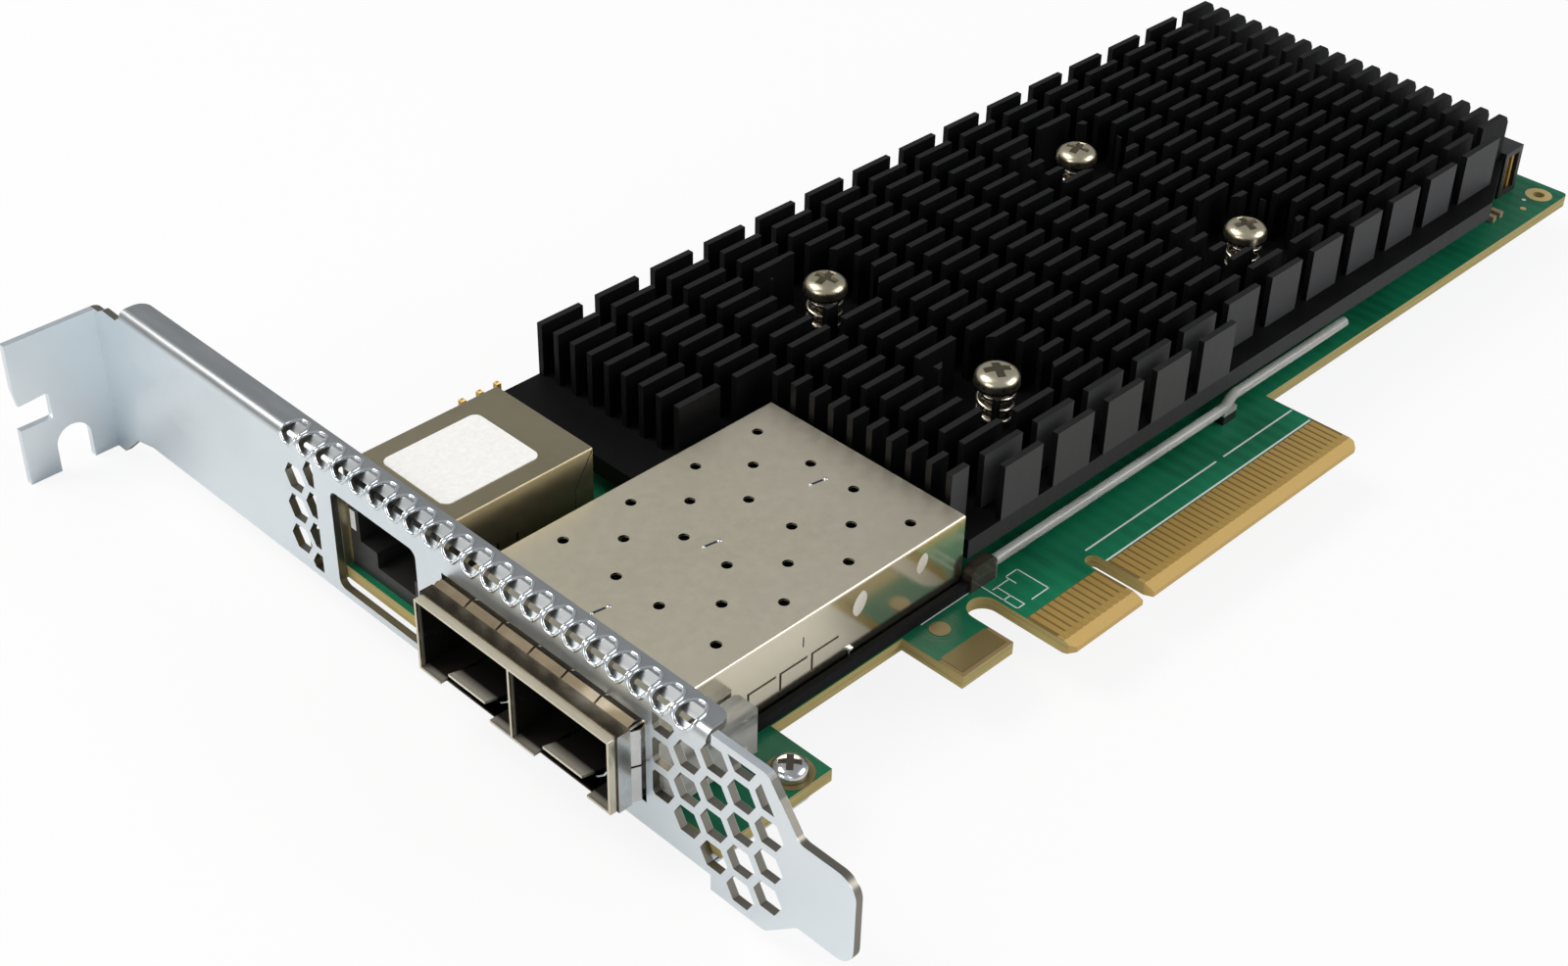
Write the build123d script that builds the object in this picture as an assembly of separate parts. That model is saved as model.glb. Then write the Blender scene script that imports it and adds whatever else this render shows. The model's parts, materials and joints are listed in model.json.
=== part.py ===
from build123d import *
import math
import os

os.makedirs("parts", exist_ok=True)

# A low-profile network card on a full-height bracket, in millimetres.
# X runs from the bracket along the board, Y from the edge contacts up to the
# bracket's mounting tab, and Z out of the board on its component side.
# The origin lies on the key notch's centre line, at the end of the edge
# contacts, in the middle of the board's thickness.

# Board and its edge connector
BOARD_T = 1.57
BOARD_LENGTH = 167.65
BOARD_HEIGHT = 68.90
BOARD_GAP = 0.25
BOARD_CORNER_R = 0.8
TONGUE_CORNER = 0.7
KEY_TO_BRACKET = 59.05
KEY_TO_DATUM = 57.15
KEY_W = 1.90
KEY_DEPTH = 8.4
SHORT_TONGUE = 11.65
LONG_TONGUE = 38.65
BEVEL_LENGTH = 1.3
BEVEL_DEPTH = 0.45
PAD_PITCH = 1.0
PAD_W = 0.7
PAD_T = 0.05
PAD_END_Y = 6.2
SHORT_PADS = 11
LONG_PADS = 38

# Lugs on the board's lower edge
LUG_DROP = 8.25
EAR_LENGTH = 14.75
GROUND_LUG_W = 7.8
GROUND_LUG_GAP = 3.85
LUG_SLOT_TOP = 0.8
GROUND_PAD_H = 3.0
GROUND_PAD_INSET = 0.5
TEST_PAD_R = 1.15
TEST_PAD_RISE = 6.6
CORNER_PAD_R = 1.8
CORNER_HOLE_R = 0.80
CORNER_PAD_FROM_END = 3.15
CORNER_PAD_RISE = 2.7
SMALL_PAD_R = 0.42
SMALL_PAD_FROM_END = 8.1
SMALL_PAD_RISE = 2.2

# Bracket, one folded sheet
BRACKET_T = 0.86
BRACKET_TAB_Y = 106.15
BRACKET_END_Y = -13.01
BRACKET_TOP_Z = 14.90
BRACKET_LOW_Z = -2.2
TAB_LENGTH = 11.43
TAB_LOW_Z = -6.2
TAB_BLEND_Y = 5.0
TAB_BLEND_RUN = 3.2
SCREW_SLOT_R = 2.21
SCREW_SLOT_X = 5.25
SCREW_SLOT_DEPTH = 5.6
TAB_TOP_Z = 12.8
RIB_NOTCH_DEPTH = 4.1
RIB_NOTCH_LOW_Z = 1.3
RIB_NOTCH_TOP_Z = 6.9
RIB_NOTCH_IN_Z = 4.6
FLANGE_W = 3.45
FLANGE_Y0 = 5.6
FLANGE_Y1 = 100.8
BEND_R = 0.20
WIDE_Y0 = -2.2
WIDE_Y1 = 4.9
WIDE_LOW_Z = -4.1
WIDE_TOP_Z = 15.3
WIDE_RUN = 4.0
TONGUE_LOW_Z = -0.55
TONGUE_W = 10.44
TONGUE_R = 2.2
FOOT_INSET = 0.45

# Vents in the bracket
VENT_FLAT = 3.15
VENT_PITCH = 4.03
VENT_EDGE = 0.9
LEFT_VENT_RISE = 6.35
RIGHT_VENT_DROP = 2.06
FIRST_COLUMN_VENTS = 3
BEND_VENTS = 21
BEND_VENT_PITCH = 3.0
BEND_VENT_Y0 = 8.7
BEND_VENT_W = 2.35
BEND_VENT_REACH = 2.7
BEND_VENT_SHIFT = 0.45
LEFT_VENT_MARGIN = 2.8
VENT_ROW_Z = 12.45
LEFT_VENT_ROW_Z = 9.45

# Bracket screws
BRACKET_SCREW_R = 1.0
BRACKET_SCREW_HEAD_R = 1.85
BRACKET_SCREW_HEAD_H = 1.45
BRACKET_SCREW_IN = 12.6
BRACKET_SCREW_RISE = 2.45
BRACKET_SCREW_TOP_INSET = 3.4
BRACKET_SCREW_REACH = 1.1
SCREW_PAD_R = 2.5
HOLE_CLEARANCE = 0.15

# Two-port cage
PORT_PITCH = 14.25
PORTS = 2
CAGE_LENGTH = 48.95
CAGE_H = 9.05
CAGE_LIFT = 0.70
CAGE_WALL = 0.30
CAGE_BEND_R = 0.28
CAGE_OUT = 3.95
CAGE_EDGE = 1.15
CAGE_OPENING_GAP = 0.60
CAGE_VENT_R = 0.60
CAGE_VENT_PITCH = 9.16
CAGE_VENT_ROW = 4.0
CAGE_VENT_X = 16.45
CAGE_VENT_ROWS = 3
CAGE_VENT_LONG_ROW = 4
CAGE_PIN_W = 0.7
CAGE_PIN_PITCH = 9.6
CAGE_PIN_X = 15.0
CAGE_PINS = 4
PIN_OUT = 0.8
CAGE_SLIT_W = 0.30
CAGE_SLIT_L = 3.9
CAGE_SLIT_DROP = 2.5
CAGE_SLIT_Z = 4.0
CAGE_SLITS = 3
CAGE_SLIT_PITCH = 4.4
CAGE_SLIT_X = 17.6
LATCH_W = 5.6
LATCH_GAP = 1.0
LATCH_LENGTH = 9.0
LATCH_RISE = 1.5

# Spring collar round the cage's nose
COLLAR_T = 0.20
COLLAR_LENGTH = 1.6
COLLAR_FROM_FRONT = 0.9
FINGER_LENGTH = 1.75
FINGER_GAP = 0.25
FINGER_CREST = 0.42
FINGERS_TOP = 6
FINGERS_SIDE = 2

# Card connectors inside the cage
PORT_CONN_W = 12.0
PORT_CONN_H = 6.0
PORT_CONN_LENGTH = 9.2
PORT_CONN_BACK = 7.0
PORT_CONN_SLOT_W = 9.6
PORT_CONN_SLOT_H = 1.4
PORT_CONN_SLOT_DEPTH = 6.2
PORT_CONTACTS = 10
PORT_CONTACT_PITCH = 0.8
PORT_CONTACT_W = 0.35
PORT_CONTACT_T = 0.15

# Eight-pin jack
JACK_W = 15.7
JACK_H = 13.1
JACK_LENGTH = 20.3
JACK_SIDE_GAP = 3.3
JACK_TOP_MARGIN = 7.25
JACK_SHIELD_T = 0.25
JACK_CAVITY_W = 11.9
JACK_CAVITY_H = 7.0
JACK_CAVITY_Z = 3.9
JACK_CAVITY_DEPTH = 14.0
JACK_LATCH_W = 6.3
JACK_LATCH_H = 2.0
JACK_WINDOW_W = 0.9
JACK_WINDOW_H = 2.5
JACK_WINDOW_RISE = 4.9
JACK_WINDOW_EDGE = 0.15
JACK_WINDOW_DEPTH = 3.0
JACK_CONTACTS = 8
JACK_CONTACT_PITCH = 1.02
JACK_CONTACT_T = 0.35
JACK_PEG_R = 1.5
JACK_PEG_SPREAD = 11.43
JACK_PEG_X = 11.0
JACK_OPENING_W = 14.2
JACK_OPENING_R = 1.0
JACK_OPENING_SHIFT = 0.75
JACK_FROM_BRACKET = 1.0
JACK_OPENING_LOW_Z = -1.3
JACK_OPENING_TOP_Z = 11.3
JACK_TAB_X = 14.6
LABEL_L = 12.6
LABEL_W = 10.7
LABEL_T = 0.10
LABEL_R = 1.0
LABEL_FROM_FRONT = 2.9
LABEL_SIDE = 2.45

# Light pipe at the cage's foot
PIPE_R = 0.65
PIPE_LIFT = 1.2
PIPE_REACH = 34.5
PIPE_END = 58.0
PIPE_SHIFT = 0.95
PIPE_Y_OUT = -0.5
PIPE_PEG_X = 32.0
PIPE_PEG_L = 2.4
PIPE_BLOCK_L = 11.1
PIPE_BLOCK_W = 3.2
PIPE_BLOCK_H = 6.0
PIPE_BLOCK_LIFT = 0.8
PIPE_BLOCK_GAP = 0.2
SLEEVE_T = 0.75
SLEEVE_H = 1.3
PIPE_LUMP_L = 4.4
PIPE_LUMP_H = 3.2

# Heat sink
FIN_T = 0.80
FIN_ROW_PITCH = 2.82
FIN_ROWS = 20
FIN_L = 6.15
FIN_PITCH = 8.60
LAST_FIN_LEAST = 3.0
FIN_H = 6.9
FIN_TOP_CHAMFER = 1.4
NEAR_ROW_COLUMNS = 5
LONG_FIN_L = 8.0
BASE_T = 2.4
SINK_X0 = 33.65
SINK_PLATEAU = 5.9
SINK_LOW_GAP = 1.1
SINK_REAR_GAP = 0.25
SINK_END_MARGIN = 0.15
SINK_CAGE_GAP = 0.75
SINK_CORNER_X = 11.5
SINK_CORNER_Y = 5.2
POCKET_R = 6.2
SCREW_SPACING_X = 46.6
SCREW_SPACING_Y = 26.4
SCREW_CENTRE_X = 87.85
SCREW_CENTRE_RISE = 27.0

# Heat sink screws, springs and spacers
SINK_SCREW_R = 1.25
SINK_SCREW_HEAD_R = 2.62
SINK_SCREW_HEAD_H = 1.9
SINK_SCREW_TOP = 0.1
SINK_SCREW_COLLAR_R = 2.45
SINK_SCREW_COLLAR_H = 0.5
SINK_HOLE_R = 1.5
SPRING_R = 1.85
SPRING_WIRE_R = 0.30
SPRING_TURNS = 2.5
SPACER_R = 2.5
RECESS_W = 0.6
RECESS_DEPTH = 0.9

# Processor
CHIP_W = 27.0
CHIP_SUBSTRATE_H = 1.5
CHIP_LID_W = 21.0
CHIP_LID_H = 1.7
PASTE_T = 0.5

# Rear connector, pin header and small parts
REAR_L = 4.4
REAR_W = 24.5
REAR_H = 6.8
REAR_FROM_END = 4.0
REAR_LOW_Y = 6.0
REAR_WALL = 0.8
REAR_PINS = 18
REAR_PIN_PITCH = 1.25
REAR_ROW_PITCH = 1.4
REAR_PIN_W = 0.5
HEADER_PITCH = 2.45
HEADER_PINS = 3
HEADER_BODY = 2.4
HEADER_PIN_W = 0.64
HEADER_PIN_H = 9.7
HEADER_X = 20.9
HEADER_EDGE = 2.7
CAP_L = 1.6
CAP_W = 0.8
CAP_H = 0.8
CAP_PITCH = 1.7
CAP_COUNT = 2
CAP_FROM_END = 14.6
CAP_RISE = 3.0

# Places that follow from the sizes above
TOP = BOARD_T / 2
BRACKET_X = -KEY_TO_BRACKET
BRACKET_IN = BRACKET_X + BRACKET_T
BOARD_X0 = BRACKET_IN + BOARD_GAP
BOARD_X1 = BOARD_LENGTH - KEY_TO_DATUM
CAGE_X0 = BRACKET_X - CAGE_OUT
CAGE_X1 = CAGE_X0 + CAGE_LENGTH
CAGE_W = PORT_PITCH * PORTS
BOARD_LOWER_Y = BOARD_HEIGHT - JACK_TOP_MARGIN - JACK_W - JACK_SIDE_GAP - CAGE_W - CAGE_EDGE
LUG_Y = BOARD_LOWER_Y - LUG_DROP
CAGE_Y0 = BOARD_LOWER_Y + CAGE_EDGE
CAGE_Y1 = CAGE_Y0 + CAGE_W
CAGE_Z0 = TOP + CAGE_LIFT
CAGE_Z1 = CAGE_Z0 + CAGE_H
JACK_Y0 = CAGE_Y1 + JACK_SIDE_GAP
JACK_Y1 = JACK_Y0 + JACK_W
JACK_Y = (JACK_Y0 + JACK_Y1) / 2
JACK_X0 = BRACKET_IN + JACK_FROM_BRACKET
JACK_X1 = JACK_X0 + JACK_LENGTH
JACK_Z1 = TOP + JACK_H
BASE_Z0 = TOP + CHIP_SUBSTRATE_H + CHIP_LID_H + PASTE_T
BASE_Z1 = BASE_Z0 + BASE_T
FIN_TOP = BASE_Z1 + FIN_H
SINK_FIN_X0 = BRACKET_X + SINK_X0
REAR_X1 = BOARD_X1 - REAR_FROM_END
REAR_X0 = REAR_X1 - REAR_L
SINK_X1 = REAR_X0 - SINK_REAR_GAP
LAST_FIN_X1 = SINK_X1 - SINK_END_MARGIN
FIN_COLUMNS = int((LAST_FIN_X1 - LAST_FIN_LEAST - SINK_FIN_X0) / FIN_PITCH) + 1
SINK_Y0 = BOARD_LOWER_Y + SINK_LOW_GAP
SINK_Y1 = SINK_Y0 + (FIN_ROWS - 1) * FIN_ROW_PITCH + FIN_T
EAR_X1 = BOARD_X0 + EAR_LENGTH
TONGUE_X0 = -KEY_W / 2 - SHORT_TONGUE
TONGUE_X1 = KEY_W / 2 + LONG_TONGUE
GROUND_LUG_X1 = TONGUE_X0 - GROUND_LUG_GAP
GROUND_LUG_X0 = GROUND_LUG_X1 - GROUND_LUG_W
EAR_SCREW = (BRACKET_X + BRACKET_SCREW_IN, LUG_Y + BRACKET_SCREW_RISE)
TOP_SCREW = (BRACKET_X + BRACKET_SCREW_IN, BOARD_HEIGHT - BRACKET_SCREW_TOP_INSET)
CORNER_PAD = (BOARD_X1 - CORNER_PAD_FROM_END, BOARD_LOWER_Y + CORNER_PAD_RISE)
SMALL_PAD = (BOARD_X1 - SMALL_PAD_FROM_END, BOARD_LOWER_Y + SMALL_PAD_RISE)
TEST_PAD = ((GROUND_LUG_X0 + GROUND_LUG_X1) / 2, LUG_Y + TEST_PAD_RISE)
CHIP_X = BRACKET_X + SCREW_CENTRE_X
CHIP_Y = BOARD_LOWER_Y + SCREW_CENTRE_RISE
SINK_SCREWS = [
    (CHIP_X + sx * SCREW_SPACING_X / 2, CHIP_Y + sy * SCREW_SPACING_Y / 2)
    for sx in (-1, 1)
    for sy in (-1, 1)
]


def block(x0, x1, y0, y1, z0, z1):
    """A box given by its lower and upper limits."""
    return Pos((x0 + x1) / 2, (y0 + y1) / 2, (z0 + z1) / 2) * Box(x1 - x0, y1 - y0, z1 - z0)


def rod(x, y, z0, z1, r):
    """A round bar along Z."""
    return Pos(x, y, (z0 + z1) / 2) * Cylinder(r, z1 - z0)


def flat_shape(points, z0, z1):
    """A polygon in X and Y, drawn out along Z."""
    face = make_face(Polyline(*points, close=True))
    return extrude(Pos(0, 0, z0) * face, amount=z1 - z0)


def along_x(points, x0, x1):
    """A polygon given in Y and Z, drawn out along X."""
    face = make_face(Polyline(*[(x0, y, z) for y, z in points], close=True))
    return extrude(face, amount=x1 - x0, dir=(1, 0, 0))


def along_y(points, y0, y1):
    """A polygon given in X and Z, drawn out along Y."""
    face = make_face(Polyline(*[(x, y0, z) for x, z in points], close=True))
    return extrude(face, amount=y1 - y0, dir=(0, 1, 0))


def hexagon(y, z, flat, z_low=-99.0, z_high=99.0, y_low=-999.0, y_high=999.0):
    """A flat-topped hexagonal hole through the bracket, kept between limits."""
    r = flat / math.sqrt(3)
    turns = [math.radians(60 * i) for i in range(6)]
    corners = [(y + r * math.cos(a), z + r * math.sin(a)) for a in turns]
    hole = along_x(corners, BRACKET_X - 1, BRACKET_IN + 1)
    keep = block(BRACKET_X - 2, BRACKET_IN + 2, y_low, y_high, z_low, z_high)
    return hole & keep


def save(node, shape):
    export_step(shape, f"parts/{node}.step")


def solids(*shapes):
    """Several separate solids of one node."""
    return Compound(children=[s for shape in shapes for s in shape.solids()])


# Board: one plate with its lugs and its tongue
def make_board():
    z0, z1 = -TOP, TOP
    body = block(BOARD_X0, BOARD_X1, BOARD_LOWER_Y, BOARD_HEIGHT, z0, z1)
    body = fillet(body.edges().filter_by(Axis.Z), BOARD_CORNER_R)
    overlap = BOARD_CORNER_R + 1.0
    ear = block(BOARD_X0, EAR_X1, LUG_Y, BOARD_LOWER_Y + overlap, z0, z1)
    lug = block(GROUND_LUG_X0, GROUND_LUG_X1, LUG_Y, BOARD_LOWER_Y + overlap, z0, z1)
    tongue = block(TONGUE_X0, TONGUE_X1, 0, BOARD_LOWER_Y + overlap, z0, z1)
    corners = [e for e in tongue.edges().filter_by(Axis.Z) if e.center().Y < 1]
    tongue = chamfer(corners, TONGUE_CORNER)
    # Above the slot's round end a web joins the lug to the tongue
    slot_r = GROUND_LUG_GAP / 2
    slot_x = (GROUND_LUG_X1 + TONGUE_X0) / 2
    slot_y = BOARD_LOWER_Y - LUG_SLOT_TOP - slot_r
    web = block(GROUND_LUG_X0, TONGUE_X0 + overlap, slot_y, BOARD_LOWER_Y + overlap, z0, z1)
    board = body + ear + lug + web + tongue
    board -= rod(slot_x, slot_y, z0 - 1, z1 + 1, slot_r)
    board -= block(-KEY_W / 2, KEY_W / 2, -1, KEY_DEPTH - KEY_W / 2, z0 - 1, z1 + 1)
    board -= rod(0, KEY_DEPTH - KEY_W / 2, z0 - 1, z1 + 1, KEY_W / 2)
    for side in (1, -1):
        low = TOP - BEVEL_DEPTH - BEVEL_DEPTH / BEVEL_LENGTH
        wedge = [(-1, side * low), (BEVEL_LENGTH, side * TOP), (-1, side * TOP)]
        board -= along_x(wedge, TONGUE_X0 - 1, TONGUE_X1 + 1)
    for x, y in SINK_SCREWS:
        board -= rod(x, y, z0 - 1, z1 + 1, SINK_SCREW_R + HOLE_CLEARANCE)
    for x, y in (EAR_SCREW, TOP_SCREW):
        board -= rod(x, y, z0 - 1, z1 + 1, BRACKET_SCREW_R + HOLE_CLEARANCE)
    board -= rod(*CORNER_PAD, z0 - 1, z1 + 1, CORNER_HOLE_R)
    for x, y in cage_pin_places() + jack_tab_places():
        board -= rod(x, y, z0 - 1, z1 + 1, CAGE_PIN_W / 2 + HOLE_CLEARANCE)
    for y in (JACK_Y - JACK_PEG_SPREAD / 2, JACK_Y + JACK_PEG_SPREAD / 2):
        board -= rod(JACK_X0 + JACK_PEG_X, y, z0 - 1, z1 + 1, JACK_PEG_R + HOLE_CLEARANCE)
    return board


def cage_pin_places():
    """Middle of each press-fit pin of the cage."""
    places = []
    for i in range(CAGE_PINS):
        x = CAGE_X0 + CAGE_PIN_X + i * CAGE_PIN_PITCH
        places += [(x, CAGE_Y0 + CAGE_WALL / 2), (x, CAGE_Y1 - CAGE_WALL / 2)]
    return places


def jack_tab_places():
    """Middle of each solder tab of the jack's shield."""
    x = JACK_X0 + JACK_TAB_X
    return [(x, JACK_Y0 + JACK_SHIELD_T / 2), (x, JACK_Y1 - JACK_SHIELD_T / 2)]


def make_edge_contacts():
    pads = []
    first = -KEY_W / 2 - SHORT_TONGUE / 2 - (SHORT_PADS - 1) * PAD_PITCH / 2
    places = [first + i * PAD_PITCH for i in range(SHORT_PADS)]
    first = KEY_W / 2 + LONG_TONGUE / 2 - (LONG_PADS - 1) * PAD_PITCH / 2
    places += [first + i * PAD_PITCH for i in range(LONG_PADS)]
    for x in places:
        pads.append(block(x - PAD_W / 2, x + PAD_W / 2, BEVEL_LENGTH, PAD_END_Y, TOP, TOP + PAD_T))
        pads.append(block(x - PAD_W / 2, x + PAD_W / 2, BEVEL_LENGTH, PAD_END_Y, -TOP - PAD_T, -TOP))
    return solids(*pads)


def make_board_pads():
    screw_pad = rod(*EAR_SCREW, TOP, TOP + PAD_T, SCREW_PAD_R)
    screw_pad -= rod(*EAR_SCREW, TOP - 1, TOP + 1, BRACKET_SCREW_R + HOLE_CLEARANCE)
    corner_pads = []
    for z0, z1 in ((TOP, TOP + PAD_T), (-TOP - PAD_T, -TOP)):
        pad = rod(*CORNER_PAD, z0, z1, CORNER_PAD_R)
        corner_pads.append(pad - rod(*CORNER_PAD, z0 - 1, z1 + 1, CORNER_HOLE_R))
    test_pad = rod(*TEST_PAD, TOP, TOP + PAD_T, TEST_PAD_R)
    small_pad = rod(*SMALL_PAD, TOP, TOP + PAD_T, SMALL_PAD_R)
    ground_pad = block(
        GROUND_LUG_X0 + GROUND_PAD_INSET,
        GROUND_LUG_X1 - GROUND_PAD_INSET,
        LUG_Y + GROUND_PAD_INSET,
        LUG_Y + GROUND_PAD_INSET + GROUND_PAD_H,
        TOP,
        TOP + PAD_T,
    )
    return solids(screw_pad, *corner_pads, test_pad, small_pad, ground_pad)


def make_bracket():
    """One sheet: plate, tongue, tab folded out, flange and feet folded in."""
    t = BRACKET_T
    x0, x1 = BRACKET_X, BRACKET_IN
    bend_out = BEND_R + t
    flat_top = BRACKET_TOP_Z - bend_out
    tongue_top = TONGUE_LOW_Z + TONGUE_W
    tab_y1 = BRACKET_TAB_Y + t
    outline = [
        (tab_y1, TAB_LOW_Z),
        (BRACKET_TAB_Y - 1.6, TAB_LOW_Z),
        (BRACKET_TAB_Y - TAB_BLEND_Y, TAB_LOW_Z + TAB_BLEND_RUN),
        (BRACKET_TAB_Y - TAB_BLEND_Y - 3.4, BRACKET_LOW_Z),
        (WIDE_Y1, BRACKET_LOW_Z),
        (WIDE_Y1, WIDE_LOW_Z),
        (WIDE_Y0, WIDE_LOW_Z),
        (WIDE_Y0 - WIDE_RUN, TONGUE_LOW_Z),
        (BRACKET_END_Y, TONGUE_LOW_Z),
        (BRACKET_END_Y, tongue_top),
        (WIDE_Y0 - WIDE_RUN, tongue_top),
        (WIDE_Y0, WIDE_TOP_Z),
        (WIDE_Y1, WIDE_TOP_Z),
        (WIDE_Y1, flat_top + 0.2),
        (FLANGE_Y0 - 0.2, flat_top),
        (FLANGE_Y1 + 0.3, flat_top),
        (FLANGE_Y1 + 0.9, TAB_TOP_Z + 0.5),
        (BRACKET_TAB_Y - 1.8, TAB_TOP_Z + 0.6),
        (BRACKET_TAB_Y - 0.7, TAB_TOP_Z),
        (tab_y1, TAB_TOP_Z),
    ]
    plate = along_x(outline, x0, x1)
    ends = plate.edges().filter_by(Axis.X).sort_by(Axis.Y)[:2]
    plate = fillet(ends, TONGUE_R)
    turns = (WIDE_Y0, WIDE_Y0 - WIDE_RUN)
    corners = plate.edges().filter_by(Axis.X)
    plate = fillet([e for e in corners if min(abs(e.center().Y - y) for y in turns) < 0.1], 1.2)

    # Flange, with its bend
    outer = Pos(x0 + bend_out, 0, flat_top) * Rot(90, 0, 0) * Cylinder(bend_out, FLANGE_Y1 - FLANGE_Y0)
    inner = Pos(x0 + bend_out, 0, flat_top) * Rot(90, 0, 0) * Cylinder(BEND_R, FLANGE_Y1 - FLANGE_Y0 + 2)
    bend = Pos(0, (FLANGE_Y0 + FLANGE_Y1) / 2, 0) * (outer - inner)
    bend &= block(x0 - 1, x0 + bend_out, FLANGE_Y0, FLANGE_Y1, flat_top, BRACKET_TOP_Z + 1)
    flange = block(x0 + bend_out, x0 + FLANGE_W, FLANGE_Y0, FLANGE_Y1, BRACKET_TOP_Z - t, BRACKET_TOP_Z)
    free_corners = flange.edges().filter_by(Axis.Z).sort_by(Axis.X)[-2:]
    flange = fillet(free_corners, 1.5)

    # Tab, with the screw slot and the rib notch
    tab_x0 = x0 - TAB_LENGTH
    tab = block(tab_x0, x1, BRACKET_TAB_Y, tab_y1, TAB_LOW_Z, TAB_TOP_Z)
    back = tab.edges().filter_by(Axis.Z).sort_by(lambda e: e.center().X + e.center().Y)[-1]
    tab = fillet(back, t * 0.9)
    plate -= block(x0 - 1, x1 + 1, BRACKET_TAB_Y, tab_y1 + 1, TAB_LOW_Z - 1, BRACKET_TOP_Z + 1)
    slot_x = x0 - SCREW_SLOT_X
    slot_z = TAB_LOW_Z + SCREW_SLOT_DEPTH - SCREW_SLOT_R
    slot_x0, slot_x1 = slot_x - SCREW_SLOT_R, slot_x + SCREW_SLOT_R
    slot = block(slot_x0, slot_x1, BRACKET_TAB_Y - 1, tab_y1 + 1, TAB_LOW_Z - 1, slot_z)
    slot += Pos(slot_x, BRACKET_TAB_Y, slot_z) * Rot(90, 0, 0) * Cylinder(SCREW_SLOT_R, 4)
    notch_x = tab_x0 + RIB_NOTCH_DEPTH
    notch = along_y(
        [
            (tab_x0 - 1, RIB_NOTCH_LOW_Z),
            (notch_x, RIB_NOTCH_LOW_Z),
            (notch_x, RIB_NOTCH_IN_Z),
            (tab_x0, RIB_NOTCH_TOP_Z),
            (tab_x0 - 1, RIB_NOTCH_TOP_Z),
        ],
        BRACKET_TAB_Y - 1,
        tab_y1 + 1,
    )
    tab = tab - slot - notch
    # The small corner beside the notch is bent a little towards the slot
    lip = along_y(
        [(tab_x0, RIB_NOTCH_TOP_Z), (notch_x, RIB_NOTCH_IN_Z), (tab_x0 + 0.45, RIB_NOTCH_TOP_Z - 2.6)],
        BRACKET_TAB_Y + t * 0.35,
        tab_y1,
    )
    bracket = plate + bend + flange + tab + lip

    # Feet under the board, one at each bracket screw
    foot_z = -TOP
    for (sx, sy), y0, y1 in (
        (EAR_SCREW, LUG_Y + FOOT_INSET, EAR_SCREW[1] + (EAR_SCREW[1] - LUG_Y - FOOT_INSET)),
        (TOP_SCREW, TOP_SCREW[1] - (BOARD_HEIGHT - TOP_SCREW[1] - FOOT_INSET), BOARD_HEIGHT - FOOT_INSET),
    ):
        foot = block(x1 - 0.2, sx + (y1 - y0) / 2, y0, y1, foot_z - t, foot_z)
        foot = fillet(foot.edges().filter_by(Axis.Z).sort_by(Axis.X)[-2:], (y1 - y0) * 0.45)
        foot -= rod(sx, sy, foot_z - t - 1, foot_z + 1, BRACKET_SCREW_R)
        bracket += foot

    # Openings for the ports
    gap = CAGE_OPENING_GAP
    bracket -= block(x0 - 1, x1 + 1, CAGE_Y0 - gap, CAGE_Y1 + gap, CAGE_Z0 - gap, CAGE_Z1 + gap)
    jack_y = JACK_Y + JACK_OPENING_SHIFT
    jack_left, jack_right = jack_y + JACK_OPENING_W / 2, jack_y - JACK_OPENING_W / 2
    jack = block(x0 - 1, x1 + 1, jack_right, jack_left, JACK_OPENING_LOW_Z, JACK_OPENING_TOP_Z)
    jack = fillet(jack.edges().filter_by(Axis.X), JACK_OPENING_R)
    bracket -= jack

    # Honeycomb vents
    column = VENT_PITCH * math.sqrt(3) / 2
    low = BRACKET_LOW_Z + VENT_EDGE
    left_limit = jack_left + LEFT_VENT_MARGIN
    for k in range(2):
        for j in range(4):
            y = jack_left + LEFT_VENT_RISE - k * column
            z = LEFT_VENT_ROW_Z - j * VENT_PITCH + (VENT_PITCH / 2 if k else 0)
            if z > low and (k or j < 3):
                bracket -= hexagon(y, z, VENT_FLAT, z_low=low, y_low=left_limit)
    right_limit = CAGE_Y0 - gap - VENT_EDGE
    first = CAGE_Y0 - gap - RIGHT_VENT_DROP
    for k in range(int((first - WIDE_Y0 + 1) / column) + 1):
        y = first - k * column
        wide = y < WIDE_Y1
        low = (WIDE_LOW_Z if wide else BRACKET_LOW_Z) + VENT_EDGE
        high = (WIDE_TOP_Z if wide else flat_top) - VENT_EDGE
        for j in range(6 if k else FIRST_COLUMN_VENTS):
            z = VENT_ROW_Z - j * VENT_PITCH + (VENT_PITCH / 2 if k % 2 else 0)
            if low + 0.6 < z < high + VENT_FLAT / 2 - 0.6:
                bracket -= hexagon(y, z, VENT_FLAT, low, high, y_high=right_limit)

    # Vents that wrap over the bend
    middle = Location((x0 + bend_out, 0, flat_top), (0, -45, 0))
    for i in range(BEND_VENTS):
        y = BEND_VENT_Y0 + i * BEND_VENT_PITCH
        w, r = BEND_VENT_W / 2, BEND_VENT_REACH / 2
        corner = r * 0.5
        cutter = Pos(BEND_VENT_SHIFT, 0, (bend_out + 2) / 2) * Box(2 * r, 2 * w, bend_out + 2)
        cutter = chamfer(cutter.edges().filter_by(Axis.Z), corner)
        bracket -= Pos(0, y, 0) * middle * cutter
    return bracket


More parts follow.
